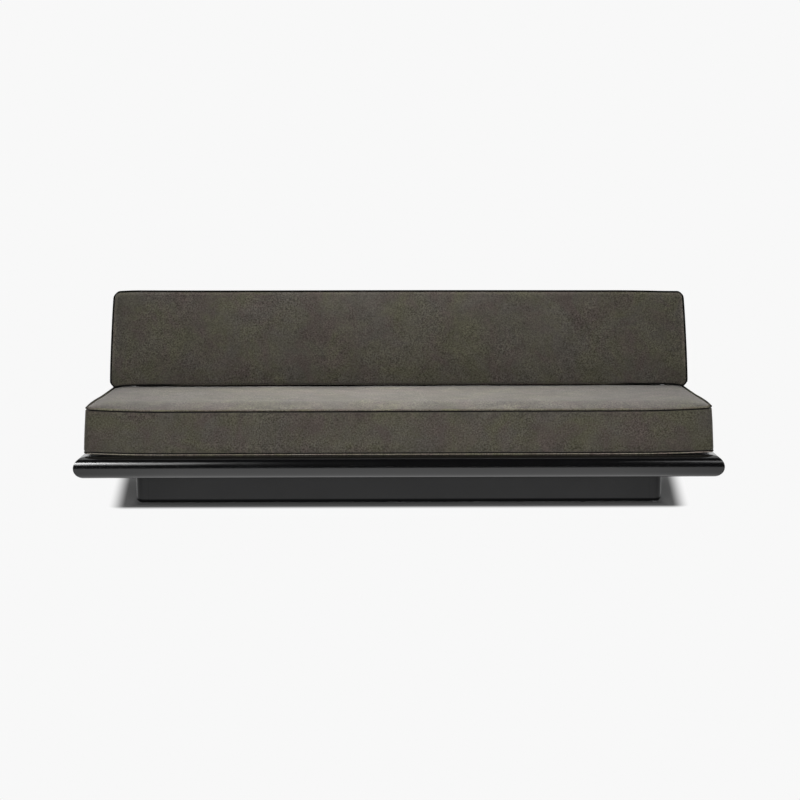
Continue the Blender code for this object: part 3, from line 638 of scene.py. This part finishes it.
def shapeCushion(bm, s, sew):
    held = bm.verts.layers.float.new("held")
    loose = bm.verts.layers.float.new("loose")
    panel = bm.verts.layers.float.new("panel")
    width, thick, box = s["halfWidth"], s["thick"], sew["boxReach"]
    liftFrom, liftFall = sew["liftFall"]
    for edge in bm.edges:
        flat = [abs(f.normal.z) > 0.5 for f in edge.link_faces]
        edge.seam = len(flat) == 2 and flat[0] != flat[1]
    for vert in bm.verts:
        x, v, t = vert.co
        onSeam = any(e.seam for e in vert.link_edges)
        onTop, onBottom = t > thick - hair, t < hair
        gapX, gapLow, gapHigh = width - abs(x), v - s["low"], s["high"] - v
        near = min(gapX, gapLow, gapHigh)
        share, place = t / thick, gapLow / (s["high"] - s["low"])
        # the ends of both long seams stand a little higher than their middles
        end = fullness(gapX, sew["sagReach"])
        across = nearness(min(gapLow, gapHigh), sew["crownReach"])
        sag = (s["bottomSag"] + (s["topSag"] - s["bottomSag"]) * share) * end * across
        rise = 0.0
        if onTop:
            rise = s["lip"] * fullness(near, sew["lipReach"])
            rise += (s["crown"] - s["lip"]) * fullness(near, sew["crownReach"])
        elif onBottom:
            rise = -s["belly"] * fullness(near, sew["crownReach"])
        back = min(place, 0.5)
        rise += s["bow"] * (sin(sew["bowTurn"] * back) - back) * (1.0 - end)
        # the boxing swells out between its seams
        swell = 4 * share * (1 - share)
        pinch = (1 - swell) * (1.0 if not (onTop or onBottom) or onSeam else nearness(near, box))
        push = s["bulge"] * swell - sew["drawIn"] * pinch
        pushRear = s["rearBulge"] * swell - sew["drawIn"] * pinch
        pushEnd = s["bulge"] * swell - s["drawEnds"] * pinch
        side = 1.0 if x > 0 else -1.0
        midX = 1.0 - (abs(x) / width) ** 4
        midV = 1.0 - abs(2 * place - 1) ** 4
        newX = x + side * pushEnd * midV * nearness(gapX, box) + s["shift"]
        newV = v + midX * (pushRear * nearness(gapHigh, box) - push * nearness(gapLow, box))
        newV += s["highSlope"] * t * place + s["lowSlope"] * t * (1 - place)
        # the foot hangs at its ends, and the top edge is fullest left of the middle
        drop = s["droop"] * nearness(gapX, sew["droopReach"]) * nearness(gapLow, sew["footReach"])
        corner = 0 if x < 0 else 1
        drop += s["cornerDrop"][corner] * nearness(gapX, sew["dropReach"][corner]) * place ** 4
        past = max(0.0, x / width + liftFrom) / liftFall
        lift = s["lift"] * (1.0 - liftFall * past ** 2) * fullness(gapX, sew["liftReach"]) * place ** 2
        widen = s["flare"] * (1.0 - share) + s["taper"][0] * (1.0 - place) + s["taper"][1] * place ** 2
        newX += side * widen * (abs(x) / width) ** 3
        zipped = s["rearBulge"] > s["bulge"] and gapHigh < hair
        vert[held] = 1.0 if onSeam or onBottom or zipped else 0.0
        if onTop:
            vert[loose] = max(0.0, 1.0 - near / sew["looseReach"])
        elif not onBottom:
            vert[loose] = max(0.0, abs(share - 0.5) * 2 - sew["looseFrom"])
        vert[panel] = 1.0 if onTop else 0.0
        vert.co = (newX, newV - drop + lift, t + rise - sag)


def cushionFrame(s):
    if "lean" in s:  # own axes: x, up the slope, out of the face
        swap = Matrix(((1, 0, 0, 0), (0, 0, -1, 0), (0, 1, 0, 0), (0, 0, 0, 1)))
        return leanFrame(s["origin"], s["lean"]) @ swap
    return Matrix.Translation(s["origin"])


def readLayer(mesh, name):
    return [item.value for item in mesh.attributes[name].data]


def swellCushion(piece, s, sew):
    mesh = piece.data
    for name in ("held", "loose"):
        group = piece.vertex_groups.new(name=name + "Group")
        for index, weight in enumerate(readLayer(mesh, name)):
            if weight > 0:
                group.add([index], weight, "REPLACE")
    cloth = piece.modifiers.new("swell", "CLOTH")
    for key, value in clothSettings.items():
        setattr(cloth.settings, key, value)
    cloth.settings.effector_weights.gravity = 0.0
    cloth.collision_settings.use_collision = False
    cloth.point_cache.frame_start = 1
    cloth.point_cache.frame_end = sew["frames"]
    for number in range(1, sew["frames"] + 1):
        scene.frame_set(number)
    swollen = piece.evaluated_get(bpy.context.evaluated_depsgraph_get())
    ends = [vert.co.copy() for vert in swollen.data.vertices]
    piece.modifiers.remove(cloth)
    scene.frame_set(1)
    for vert, end, top in zip(mesh.vertices, ends, readLayer(mesh, "panel")):
        cap = s["capTop"] if top > 0.5 else s["capSide"]
        step = end - vert.co
        if step.length > cap:
            step *= cap / step.length
        vert.co += step


def seamEdges(bm, top):
    panel = bm.verts.layers.float["panel"]
    return [e for e in bm.edges if e.seam and (e.verts[0][panel] > 0.5) == top]


def walkSeam(edges):
    edge, left = edges[0], set(edges)
    first = vert = edge.verts[0]
    places = []
    while edge is not None:
        places.append(vert.co.copy())
        left.discard(edge)
        vert = edge.other_vert(vert)
        edge = next((e for e in vert.link_edges if e in left), None) if vert != first else None
    return places


def sinkSeams(bm, s, sew):
    # both covers turn in under the cord, so a seam is a trough of painted shade between two lips with a painted
    # highlight
    shade = bm.verts.layers.float["paintedShade"]
    highlight = bm.verts.layers.float.new("paintedHighlight")
    local = cushionFrame(s).inverted()
    for edges, notch, troughShade in zip([seamEdges(bm, True), seamEdges(bm, False)], s["notch"], s["troughShade"]):
        made = roundEdges(bm, edges, notch, sew["notchSegments"])
        fresh = set(made["faces"])
        bm.normal_update()
        for vert in made["verts"]:
            atFoot = (local @ vert.co).y < s["low"] + sew["footBand"]
            if all(face in fresh for face in vert.link_faces):
                vert.co -= vert.normal * s["trough"]
                # painted shade in the trough, lighter at the back's foot
                vert[shade] = troughShade * (s["footTroughShade"] if atFoot else 1.0)
                continue
            if atFoot and s["footTroughShade"] < 1.0:
                continue  # pressed into the seat, so no painted highlight
            # painted highlight on the lip, and a little on its neighbours unless they carry painted shade
            vert[highlight] = s["lipHighlight"]
            for edge in vert.link_edges:
                beside = edge.other_vert(vert)
                beside[highlight] = max(beside[highlight], sew["besideHighlight"] * s["lipHighlight"] * (beside[shade] < sew["shadeLimit"]))


def makePiping(cord, seam, s, sew):
    onBack = "lean" in s
    axes = cushionFrame(s).to_3x3()
    boxing = axes @ Vector((0, 0, -1 if cord["top"] else 1))  # from the seam along the side panel
    upward = axes @ Vector((0, 1, 0))
    middle = sum(seam, Vector()) / len(seam)
    local = cushionFrame(s).inverted()
    places, roots, dark, pressed, wearAndHighlight, eased = [], [], [], [], [], []
    for i, spot in enumerate(seam):
        along = seam[(i + 1) % len(seam)] - seam[i - 1]
        outward = along.cross(boxing).normalized()
        if outward.dot(spot - middle) < 0:
            outward.negate()
        # drawn in round the corners, and at the front end of both side runs
        turn = 4.0 * (outward.x * outward.dot(upward)) ** 2
        ahead = (local @ spot).y - s["low"]
        draw = max(turn, cord["drawn"] * nearness(ahead - s["corner"], sew["drawReach"]) * abs(outward.x) ** 3)
        if ahead < s["corner"]:
            draw *= cord["lowTuck"]
        most = min(draw, 1.0)
        places.append(spot + outward * (cord["out"] - cord["tuck"] * draw) + boxing * cord["inset"])
        roots.append(places[-1] + (boxing - outward) * (cord["flange"] * (1.0 - sew["flangeEasing"] * most)))
        eased.append(1.0 - sew["shadeEasing"] * cord["drawn"] * most)
        # painted shade on the side turned to the boxing, and at the ends and on the back on its outer side
        outer = outward if onBack else outward * sew["outerTurn"][0] - boxing * sew["outerTurn"][1]
        share = cord["outerDark"] if onBack else cord["outerDark"] * outward.x ** 2
        dark.append(boxing.lerp(outer, share).normalized())
        wearAndHighlight.append(cord["highlight"] * max(0.0, -outward.y) ** 2)  # painted highlight: only the front run is paler
        # at the back's foot it is pressed into the seat: painted shade, half in the middle and full near both ends
        # where it lies bare
        shaded = None
        if onBack and cord["top"] and outward.dot(upward) < sew["downward"]:
            (start, end), (least, full) = sew["pressedEnds"], sew["pressedShade"]
            shaded = least + (full - least) * clamped((abs(spot.x) - start) / (end - start))
        pressed.append(shaded)
    cordMesh = tubeMesh(cord["name"], places, cord["radius"], True, 3)
    sides = len(cordMesh.vertices) // len(places)
    shades, highlights = [], []
    for i, vert in enumerate(cordMesh.vertices):
        spot = i // sides
        turned = (vert.co - places[spot]).normalized().dot(dark[spot])
        shadeShare = clamped((turned - cord["edge"]) / sew["edgeFade"]) * eased[spot]
        shades.append(shadeShare if pressed[spot] is None else pressed[spot])
        highlights.append(wearAndHighlight[spot])
    # the flange runs from the cord down into the seam, so no light shows between them; it is painted fully dark, as
    # shade
    flange = tubeMesh(cord["name"] + "Flange", roots, cord["rootRadius"], True, 1)
    count = len(flange.vertices)
    bm = bmesh.new()
    for mesh, shade, highlight in ((cordMesh, shades, highlights), (flange, [1.0] * count, [0.0] * count)):
        for name, values in (("paintedShade", shade), ("paintedHighlight", highlight)):
            mesh.attributes.new(name, "FLOAT", "POINT").data.foreach_set("value", values)
        addMesh(bm, mesh)
    piece = addObject(cord["name"], meshFrom(bm, cord["name"]))
    dressPiece(piece, "piping_velvet", s["body"], [cord["node"]], None)


def makeCushion(s, sew, cords):
    bm = cutCushion(s, sew)
    bmesh.ops.recalc_face_normals(bm, faces=bm.faces)
    shapeCushion(bm, s, sew)
    bmesh.ops.transform(bm, matrix=cushionFrame(s), verts=bm.verts)
    mesh = meshFrom(bm, s["name"])
    piece = addObject(s["name"], mesh)
    swellCushion(piece, s, sew)
    # a little unevenness in the filling
    bm = bmesh.new()
    bm.from_mesh(mesh)
    bm.normal_update()
    held = bm.verts.layers.float["held"]
    start = Vector((s["seed"] / sew["lumps"][0][0], 0, 0))
    for vert in bm.verts:
        if vert[held] < 0.5:
            place = vert.co + start
            vert.co += vert.normal * sum(high * noise.noise(place * scale) for scale, high in sew["lumps"])
    # painted shade: a little all over, along the foot and towards the ends of the top, low on the boxing; then the
    # seams
    panel = bm.verts.layers.float["panel"]
    shade = bm.verts.layers.float.new("paintedShade")
    local = cushionFrame(s).inverted()
    allOver, alongFoot, atEnds = s["coverShade"]
    for vert in bm.verts:
        spot = local @ vert.co
        fromEnd = s["halfWidth"] - abs(spot.x)
        coverShade = alongFoot * nearness(spot.y - s["low"], sew["coverShadeReach"][0])
        coverShade += atEnds * nearness(fromEnd, sew["coverShadeReach"][1])
        # the boxing darkens towards its bottom seam and its ends: painted shade
        hemShade = s["hemShade"][0] * nearness(spot.z, sew["hemShadeReach"][0])
        hemShade += s["hemShade"][1] * nearness(fromEnd, sew["hemShadeReach"][1])
        vert[shade] = allOver + coverShade * vert[panel] + hemShade * (1.0 - vert[panel])
    for cord in cords:
        makePiping(cord, walkSeam(seamEdges(bm, cord["top"])), s, sew)
    sinkSeams(bm, s, sew)
    bm.to_mesh(mesh)
    bm.free()
    for name in ("held", "loose", "panel"):
        mesh.attributes.remove(mesh.attributes[name])
    piece.vertex_groups.clear()
    smoother = piece.modifiers.new("smoother", "SUBSURF")
    smoother.levels = smoother.render_levels = 1
    dressPiece(piece, "taupe_velvet", s["body"], s["nodes"], None)


# each cord: where its painted shade begins and how far it turns outwards, and how much painted highlight its front run
# gets
plainCord = {
    "out": 0.0, "tuck": 0.001, "lowTuck": 1.0,
    "inset": 0.0,  # towards the boxing
    "drawn": 0.0, "outerDark": 0.0, "edge": 0.08, "highlight": 0.0,
}
seatCords = [
    # the seat's cords get a painted highlight on their front runs, the bottom one most
    {**plainCord, "name": "seatPipingTop", "node": "seat_piping_top", "top": True, "radius": 0.0046, "tuck": 0.0055,
     "drawn": 0.8, "outerDark": 1.0, "highlight": 0.4, "flange": 0.0038, "rootRadius": 0.003},
    {**plainCord, "name": "seatPipingBottom", "node": "seat_piping_bottom", "top": False, "radius": 0.0036,
     "out": -0.003, "highlight": 1.0, "flange": 0.0028, "rootRadius": 0.0028},
]
backCords = [
    # the back's front cord carries painted shade all round
    {**plainCord, "name": "backPipingFront", "node": "back_piping_front", "top": True, "radius": 0.0035,
     "out": 0.0002, "tuck": 0.0008, "lowTuck": 3.0, "inset": 0.0013, "outerDark": 1.0, "edge": -1.5,
     "flange": 0.0018, "rootRadius": 0.002},
    {**plainCord, "name": "backPipingRear", "node": "back_piping_rear", "top": False, "radius": 0.004,
     "flange": 0.003, "rootRadius": 0.003},
]
makeCushion(seatSettings, sewingSettings, seatCords)
makeCushion(backSettings, sewingSettings, backCords)
print("cushions made")

# steel brackets behind the back panel: a bent strap with a welded gusset
bracketSettings = {
    "count": 4, "rear": 0.436045, "low": 0.2059, "top": 0.4556, "topGap": 0.001, "thick": 0.006, "width": 0.06,
    "offset": 0.0313,  # rear face of the strap, from the front of the panel
    "bend": 0.005, "bendSteps": 9, "corner": (0.009, 5), "arris": (0.0007, 2),
    "gussetFront": 0.25, "gussetRun": 0.07, "gussetTop": 0.3069, "gussetEdge": 0.2149,
    "gussetHalf": 0.003,  # also how deep it sinks into the strap
    "bead": 0.0021, "beadSteps": 5, "screwsFoot": (0.018, 0.414), "screwsStrap": (0.345, 0.425),
}
screwSettings = {
    "sides": 24,
    "washer": (0.0085, 0.0012),  # radius and thickness
    "head": (0.0062, 0.0038),
    "dome": (0.0016, 4), "socketRim": 0.0016, "socketDepth": 0.0019, "lobe": 0.74,
}


def slopePlace(offset, height):  # y of a plane parallel to the back panel
    foot, lean = panelSettings["foot"], panelSettings["lean"]
    return foot[1] + offset / cos(lean) + (height - foot[2]) * tan(lean)


def bendStrap(s, pivot, lean):
    run = s["rear"] - pivot.y
    bm = block((s["width"], run, s["thick"]), (0, pivot.y + run / 2, s["low"] + s["thick"] / 2))
    face = min(bm.faces, key=lambda f: f.calc_center_median().y)
    turned = bmesh.ops.spin(
        bm, geom=[face, *face.edges, *face.verts], cent=pivot, axis=(1, 0, 0), angle=-(pi / 2 + lean),
        steps=s["bendSteps"],
    )["geom_last"]
    face = next(item for item in turned if isinstance(item, bmesh.types.BMFace))
    length = (s["top"] - s["topGap"] - face.calc_center_median().z) / cos(lean)
    face = bmesh.ops.extrude_discrete_faces(bm, faces=[face])["faces"][0]
    bmesh.ops.translate(bm, vec=Vector((0, sin(lean), cos(lean))) * length, verts=face.verts)
    corners = [e for e in face.edges if abs(e.verts[0].co.x - e.verts[1].co.x) < hair]
    corners += edgesWhere(bm, lambda c, e: alongAxis(e, 2) and c.y > s["rear"] - hair)
    roundEdges(bm, corners, *s["corner"])
    roundEdges(bm, sharpEdges(bm), *s["arris"])
    return bm


def cutGusset(s, lean, heel):
    low, half = s["low"] + s["thick"] / 2, s["gussetHalf"]
    tall, deep = s["gussetTop"] - low, heel - s["gussetFront"]
    bm = block((2 * half, deep, tall), (0, heel - deep / 2, low + tall / 2))
    tip = slopePlace(s["offset"] + half, s["gussetTop"])
    cutOff(bm, (0, slopePlace(s["offset"] - half, low), low), (0, -cos(lean), sin(lean)))
    cutOff(bm, (0, heel, s["gussetEdge"]), (0, s["gussetTop"] - s["gussetEdge"], heel - tip))
    return bm


def makeScrewMesh(s):
    bm = bmesh.new()
    rim = 0.0
    for radius, thick in (s["washer"], s["head"]):
        middle = Matrix.Translation((0, 0, rim + thick / 2))
        bmesh.ops.create_cone(
            bm, cap_ends=True, segments=s["sides"], radius1=radius, radius2=radius, depth=thick, matrix=middle)
        rim += thick
    top = edgesWhere(bm, lambda c, e: min(v.co.z for v in e.verts) > rim - hair)
    roundEdges(bm, top, *s["dome"])
    cap = max(bm.faces, key=lambda f: (round(f.calc_center_median().z, 5), f.calc_area()))
    bmesh.ops.inset_individual(bm, faces=[cap], thickness=s["socketRim"])
    for i, vert in enumerate(cap.verts):  # six lobes
        if i // 2 % 2:
            vert.co.x, vert.co.y = vert.co.x * s["lobe"], vert.co.y * s["lobe"]
    floor = bmesh.ops.extrude_discrete_faces(bm, faces=[cap])["faces"][0]
    bmesh.ops.translate(bm, vec=(0, 0, -s["socketDepth"]), verts=floor.verts)
    return meshFrom(bm, "screw")


def makeBracket(number, s, screw):
    node = f"back_bracket_{number}"
    low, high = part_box(node)
    lean = panelSettings["lean"]
    sideways = Matrix.Translation(((low[0] + high[0]) / 2, 0, 0))
    footTop = s["low"] + s["thick"]
    pivot = Vector((0, slopePlace(s["offset"] + s["bend"], footTop + s["bend"]), footTop + s["bend"]))
    heel = slopePlace(s["offset"], footTop) + s["gussetRun"]
    bm = bendStrap(s, pivot, lean)
    addMesh(bm, meshFrom(cutGusset(s, lean, heel), "gusset"))
    # weld bead down the strap, round the bend and along the foot
    path = [Vector((0, slopePlace(s["offset"], s["gussetTop"]), s["gussetTop"]))]
    for i in range(s["beadSteps"], -1, -1):
        angle = -(pi / 2 + lean) * i / s["beadSteps"]
        path.append(pivot + Vector((0, sin(angle), -cos(angle))) * s["bend"])
    path.append(Vector((0, heel, footTop)))
    for side in (-1, 1):
        places = [place + Vector((side * s["gussetHalf"], 0, 0)) for place in path]
        addMesh(bm, tubeMesh("bead", places, s["bead"], False))
    newPiece(f"backBracket{number}", bm, "black_steel", "base", [node], 35.0, sideways)
    bm = bmesh.new()
    for side in (-1, 1):
        addMesh(bm, screw.copy(), Matrix.Translation((side * s["screwsFoot"][0], s["screwsFoot"][1], footTop)))
    for height in s["screwsStrap"]:
        place = (0, slopePlace(s["offset"], height), height)
        addMesh(bm, screw.copy(), leanFrame(place, lean) @ Matrix.Rotation(-pi / 2, 4, "X"))
    newPiece(f"bracketScrews{number}", bm, "black_steel", "base", (), 35.0, sideways)


screwMesh = makeScrewMesh(screwSettings)
for number in range(1, bracketSettings["count"] + 1):
    makeBracket(number, bracketSettings, screwMesh)
print("brackets made")

# zips: two tapes, a chain of teeth, velvet lips and a slider with a pull
zipSettings = {
    "endGap": 0.0003, "tape": 0.0044, "tapeOff": 0.0038, "tapeThick": 0.0008,
    "bar": (0.003, 0.0012, 0.011),  # stitched across each end
    "barPlace": (0.003, 0.0004),  # from the end, and out of the tape
    "chain": (0.016, 0.006),  # from each end
    "pitch": 0.0035, "tooth": (0.0011, 0.0008, 0.0024), "toothOff": 0.0011, "toothUp": 0.0006, "lip": 0.0021,
    "lipOff": 0.0072, "lipPast": 0.004,
    "runner": 0.01,  # slider from the end
    "slider": (0.012, 0.0034, 0.009), "sliderUp": 0.0018, "sliderCorner": (0.0026, 4), "arris": (0.0006, 2),
    "arch": ((0.004, -0.0004), (0.0034, 0.0006), (0.002, 0.001)),  # half of the bridge
    "archRadius": 0.0006, "pull": (0.026, 0.0012, 0.0056),
    "pullPlace": (0.003, -0.0006),  # from the slider's middle and top
    "pullCorner": (0.0022, 4), "pullPanel": (0.0012, -0.0004),
}
zips = {
    "back": {"origin": (0.0, 0.3244, 0.358844), "place": (0.0, 0.00256, 0.347), "length": 1.8},
    "seat": {"origin": (0.0, 0.3037, 0.3014), "place": (0.0, 0.0, 0.0), "length": 1.9},
}


def makeSliderBody(centre, s):
    bm = block(s["slider"], (centre, s["sliderUp"] + s["slider"][1] / 2, 0))
    roundEdges(bm, [e for e in bm.edges if alongAxis(e, 1)], *s["sliderCorner"])
    roundEdges(bm, sharpEdges(bm), *s["arris"])
    high = s["sliderUp"] + s["slider"][1]
    arch = [(-run, up) for run, up in s["arch"]] + list(reversed(s["arch"]))
    addMesh(bm, tubeMesh("bridge", [Vector((centre + run, high + up, 0)) for run, up in arch], s["archRadius"], False))
    pull = block(s["pull"], (centre + s["pullPlace"][0] + s["pull"][0] / 2, high + s["pullPlace"][1], 0))
    roundEdges(pull, [e for e in pull.edges if alongAxis(e, 1)], *s["pullCorner"])
    face = max(pull.faces, key=lambda f: f.calc_center_median().y)
    bmesh.ops.inset_individual(pull, faces=[face], thickness=s["pullPanel"][0], depth=s["pullPanel"][1])
    addMesh(bm, meshFrom(pull, "pull"))
    return bm


def makeZip(side, given, s):
    frameOf = leanFrame(given["origin"], panelSettings["lean"]) @ Matrix.Translation(given["place"])
    cushion, half = side + "_cushion", given["length"] / 2 - s["endGap"]
    start, end, past = s["chain"][0] - half, half - s["chain"][1], half + s["lipPast"]
    tapes, teeth, lips = (bmesh.new() for i in range(3))
    for turn in (-1, 1):
        addBlock(tapes, (2 * half, s["tapeThick"], s["tape"]), (0, -s["tapeThick"] / 2, turn * s["tapeOff"]))
        addBlock(tapes, s["bar"], (turn * (half - s["barPlace"][0]), s["barPlace"][1], 0))
        tooth = bmesh.ops.create_uvsphere(teeth, u_segments=6, v_segments=5, radius=1.0)["verts"]
        bmesh.ops.scale(teeth, vec=s["tooth"], verts=tooth)
        place = (start + turn * s["pitch"] / 4, s["toothUp"], turn * s["toothOff"])
        bmesh.ops.translate(teeth, vec=place, verts=tooth)
        places = [frameOf @ Vector((x, s["toothUp"], turn * s["lipOff"])) for x in (-past, 0, past)]
        addMesh(lips, tubeMesh("lip", places, s["lip"], False, 3))
    newPiece(side + "ZipTape", tapes, "zip_tape", cushion, [side + "_zip"], 35.0, frameOf)
    chain = newPiece(side + "ZipTeeth", teeth, "zip_metal", cushion, (), None, frameOf).modifiers.new("chain", "ARRAY")
    chain.use_relative_offset = False
    chain.use_constant_offset = True
    chain.constant_offset_displace = (s["pitch"], 0, 0)
    chain.count = int((end - start) / s["pitch"])
    newPiece(side + "ZipLips", lips, "taupe_velvet", cushion, (), 60.0)
    bm = makeSliderBody(s["runner"] - given["length"] / 2, s)
    newPiece(side + "ZipSlider", bm, "zip_metal", side + "_zip_runner", [side + "_zip_slider"], 35.0, frameOf)


for side, given in zips.items():
    makeZip(side, given, zipSettings)
print("zips made")

# studio
studioSettings = {
    "white": 0.9387,  # background level
    "floor": (0.34, 0.34, 0.34, 1.0), "floorSize": 40.0, "ambient": 0.22, "shadowReach": (1.062, 0.335),
    "shadowFade": 0.075,
    "mirrorNearer": 0.055,  # painted reflection: reflections find the white floor closer in, at the front and rear
    "mirrorFront": (-1.9, -1.2),  # and the painted reflection dims towards the dark cloth
    "mirrorEnds": (0.85, 1.4), "mirrorPast": 0.5,
    "shadowGlow": (0.045, 0.026),  # painted light: glow that makes the shadow paler beside and before the plinth
    "glowBeside": (0.99, 1.02), "glowBefore": (-0.295, -0.325),
    "shadowSpread": 0.11,  # wider towards the rear
    "flagRadius": 14.0, "flagRear": 0.6, "flagFoot": 0.02,
}


def addLamp(name, place, aim, size, power, glossy, beam=180.0):
    data = bpy.data.lights.new(name, "AREA")
    data.shape = "RECTANGLE"
    data.size, data.size_y = size
    data.energy = power
    data.spread = radians(beam)
    lamp = addObject(name, data)
    lamp.location = place
    lamp.rotation_euler = (Vector(aim) - Vector(place)).to_track_quat("-Z", "Y").to_euler()
    lamp.visible_camera = False
    lamp.visible_glossy = glossy  # soft boxes for the fabric, or cards for the lacquer only
    lamp.visible_diffuse = not glossy


# place, aim, size, power, whether it is a card
addLamp("overheadBox", (-0.15, 0.87, 2.6), (-0.1, -0.2, 0.35), (0.7, 0.9), 25.0, False, 85.0)
addLamp("frontFill", (0.0, -6.0, 0.9), (0.0, 0.0, 0.4), (4.4, 1.6), 204.0, False)
addLamp("leftCard", (-2.74, -4.0, 3.55), (-0.9, -0.3, 0.2), (1.4, 2.4), 160.0, True)
addLamp("leftStrip", (-1.85, -4.0, 3.55), (-0.9, -0.3, 0.2), (1.1, 2.0), 19.0, True)
addLamp("rightCard", (2.78, -3.9, 3.75), (0.9, -0.3, 0.2), (1.5, 2.6), 24.0, True)
addLamp("rearFill", (0.0, 5.5, 2.8), (0.0, 0.0, 0.4), (4.0, 2.4), 60.0, False)


def showsBackground(tree):
    path = addNode(tree, "LightPath")
    seen = calc("MAXIMUM", path["Is Camera Ray"], path["Is Glossy Ray"])
    return calc("MAXIMUM", seen, path["Is Transmission Ray"])


def clearTree(owner):
    owner.use_nodes = True
    owner.node_tree.nodes.clear()
    return owner.node_tree


def makeWorld(s):
    scene.world = bpy.data.worlds.new("studio")
    tree = clearTree(scene.world)
    lit, shown = (addNode(tree, "Background", {"Color": (1, 1, 1, 1), "Strength": s[key]})[0]
                  for key in ("ambient", "white"))
    mix = addNode(tree, "MixShader", {0: showsBackground(tree), 1: lit, 2: shown})
    addNode(tree, "OutputWorld", {"Surface": mix[0]})


def makeFloor(s):
    bm = bmesh.new()
    bmesh.ops.create_grid(bm, x_segments=1, y_segments=1, size=s["floorSize"])
    floor = addObject("floor", meshFrom(bm, "floor"))
    material = bpy.data.materials.new("pale floor")
    floor.data.materials.append(material)
    tree = clearTree(material)
    paint = addNode(tree, "BsdfDiffuse", {"Color": s["floor"]})
    glow = addNode(tree, "Emission", {"Color": (1, 1, 1, 1), "Strength": s["white"]})
    # white away from the plinth, and bare floor with its shadow round it
    split = addNode(tree, "SeparateXYZ", {0: addNode(tree, "TexCoord")["Object"]})
    mirrored = addNode(tree, "LightPath")["Is Glossy Ray"]
    fromX, fromY = calc("ABSOLUTE", split[0]), calc("ABSOLUTE", split[1])
    reach = calc("MULTIPLY_ADD", split[1], s["shadowSpread"], s["shadowReach"][0])
    overX = calc("MAXIMUM", calc("SUBTRACT", fromX, reach), 0.0)
    beyond = calc("SUBTRACT", fromY, s["shadowReach"][1])
    # painted reflection: for reflections the white begins closer to the plinth
    overY = calc("MAXIMUM", calc("MULTIPLY_ADD", mirrored, s["mirrorNearer"], beyond), 0.0)
    squares = calc("ADD", calc("MULTIPLY", overX, overX), calc("MULTIPLY", overY, overY))
    clear = spread(calc("SQRT", squares), 0.0, s["shadowFade"], 0.0, 1.0, "SMOOTHSTEP")
    # painted light in the shadow beside and before the plinth
    beside = spread(fromX, *s["glowBeside"], 0.0, s["shadowGlow"][0])
    before = spread(split[1], *s["glowBefore"], 0.0, s["shadowGlow"][1])
    lightest = calc("MAXIMUM", clear, calc("MAXIMUM", beside, before))
    white = calc("MULTIPLY", lightest, showsBackground(tree))
    # painted reflection: for reflections the white floor dims towards the front and the ends
    front, ends = spread(split[1], *s["mirrorFront"], 0.0, 1.0), spread(fromX, *s["mirrorEnds"], 1.0, s["mirrorPast"])
    lost = calc("SUBTRACT", 1.0, calc("MULTIPLY", front, ends))
    factor = calc("MULTIPLY", white, calc("SUBTRACT", 1.0, calc("MULTIPLY", mirrored, lost)))
    mix = addNode(tree, "MixShader", {0: factor, 1: paint[0], 2: glow[0]})
    addNode(tree, "OutputMaterial", {"Surface": mix[0]})


def makeFlags(s):  # dark cloth round the front of the set: only reflections show it
    bm = bmesh.new()
    bmesh.ops.create_uvsphere(bm, u_segments=48, v_segments=24, radius=s["flagRadius"])
    slicePlane(bm, (0, s["flagRear"], 0), (0, 1, 0), clear=True)
    slicePlane(bm, (0, 0, s["flagFoot"]), (0, 0, -1), clear=True)
    flags = addObject("flags", meshFrom(bm, "flags"))
    dark = {"Base Color": (0.0, 0.0, 0.0, 1.0), "Specular IOR Level": 0.0}
    flags.data.materials.append(newFinish("dark cloth", **dark)[0])
    for ray in ("camera", "diffuse", "transmission", "shadow"):
        setattr(flags, "visible_" + ray, False)


makeWorld(studioSettings)
makeFloor(studioSettings)
makeFlags(studioSettings)
print("studio made")
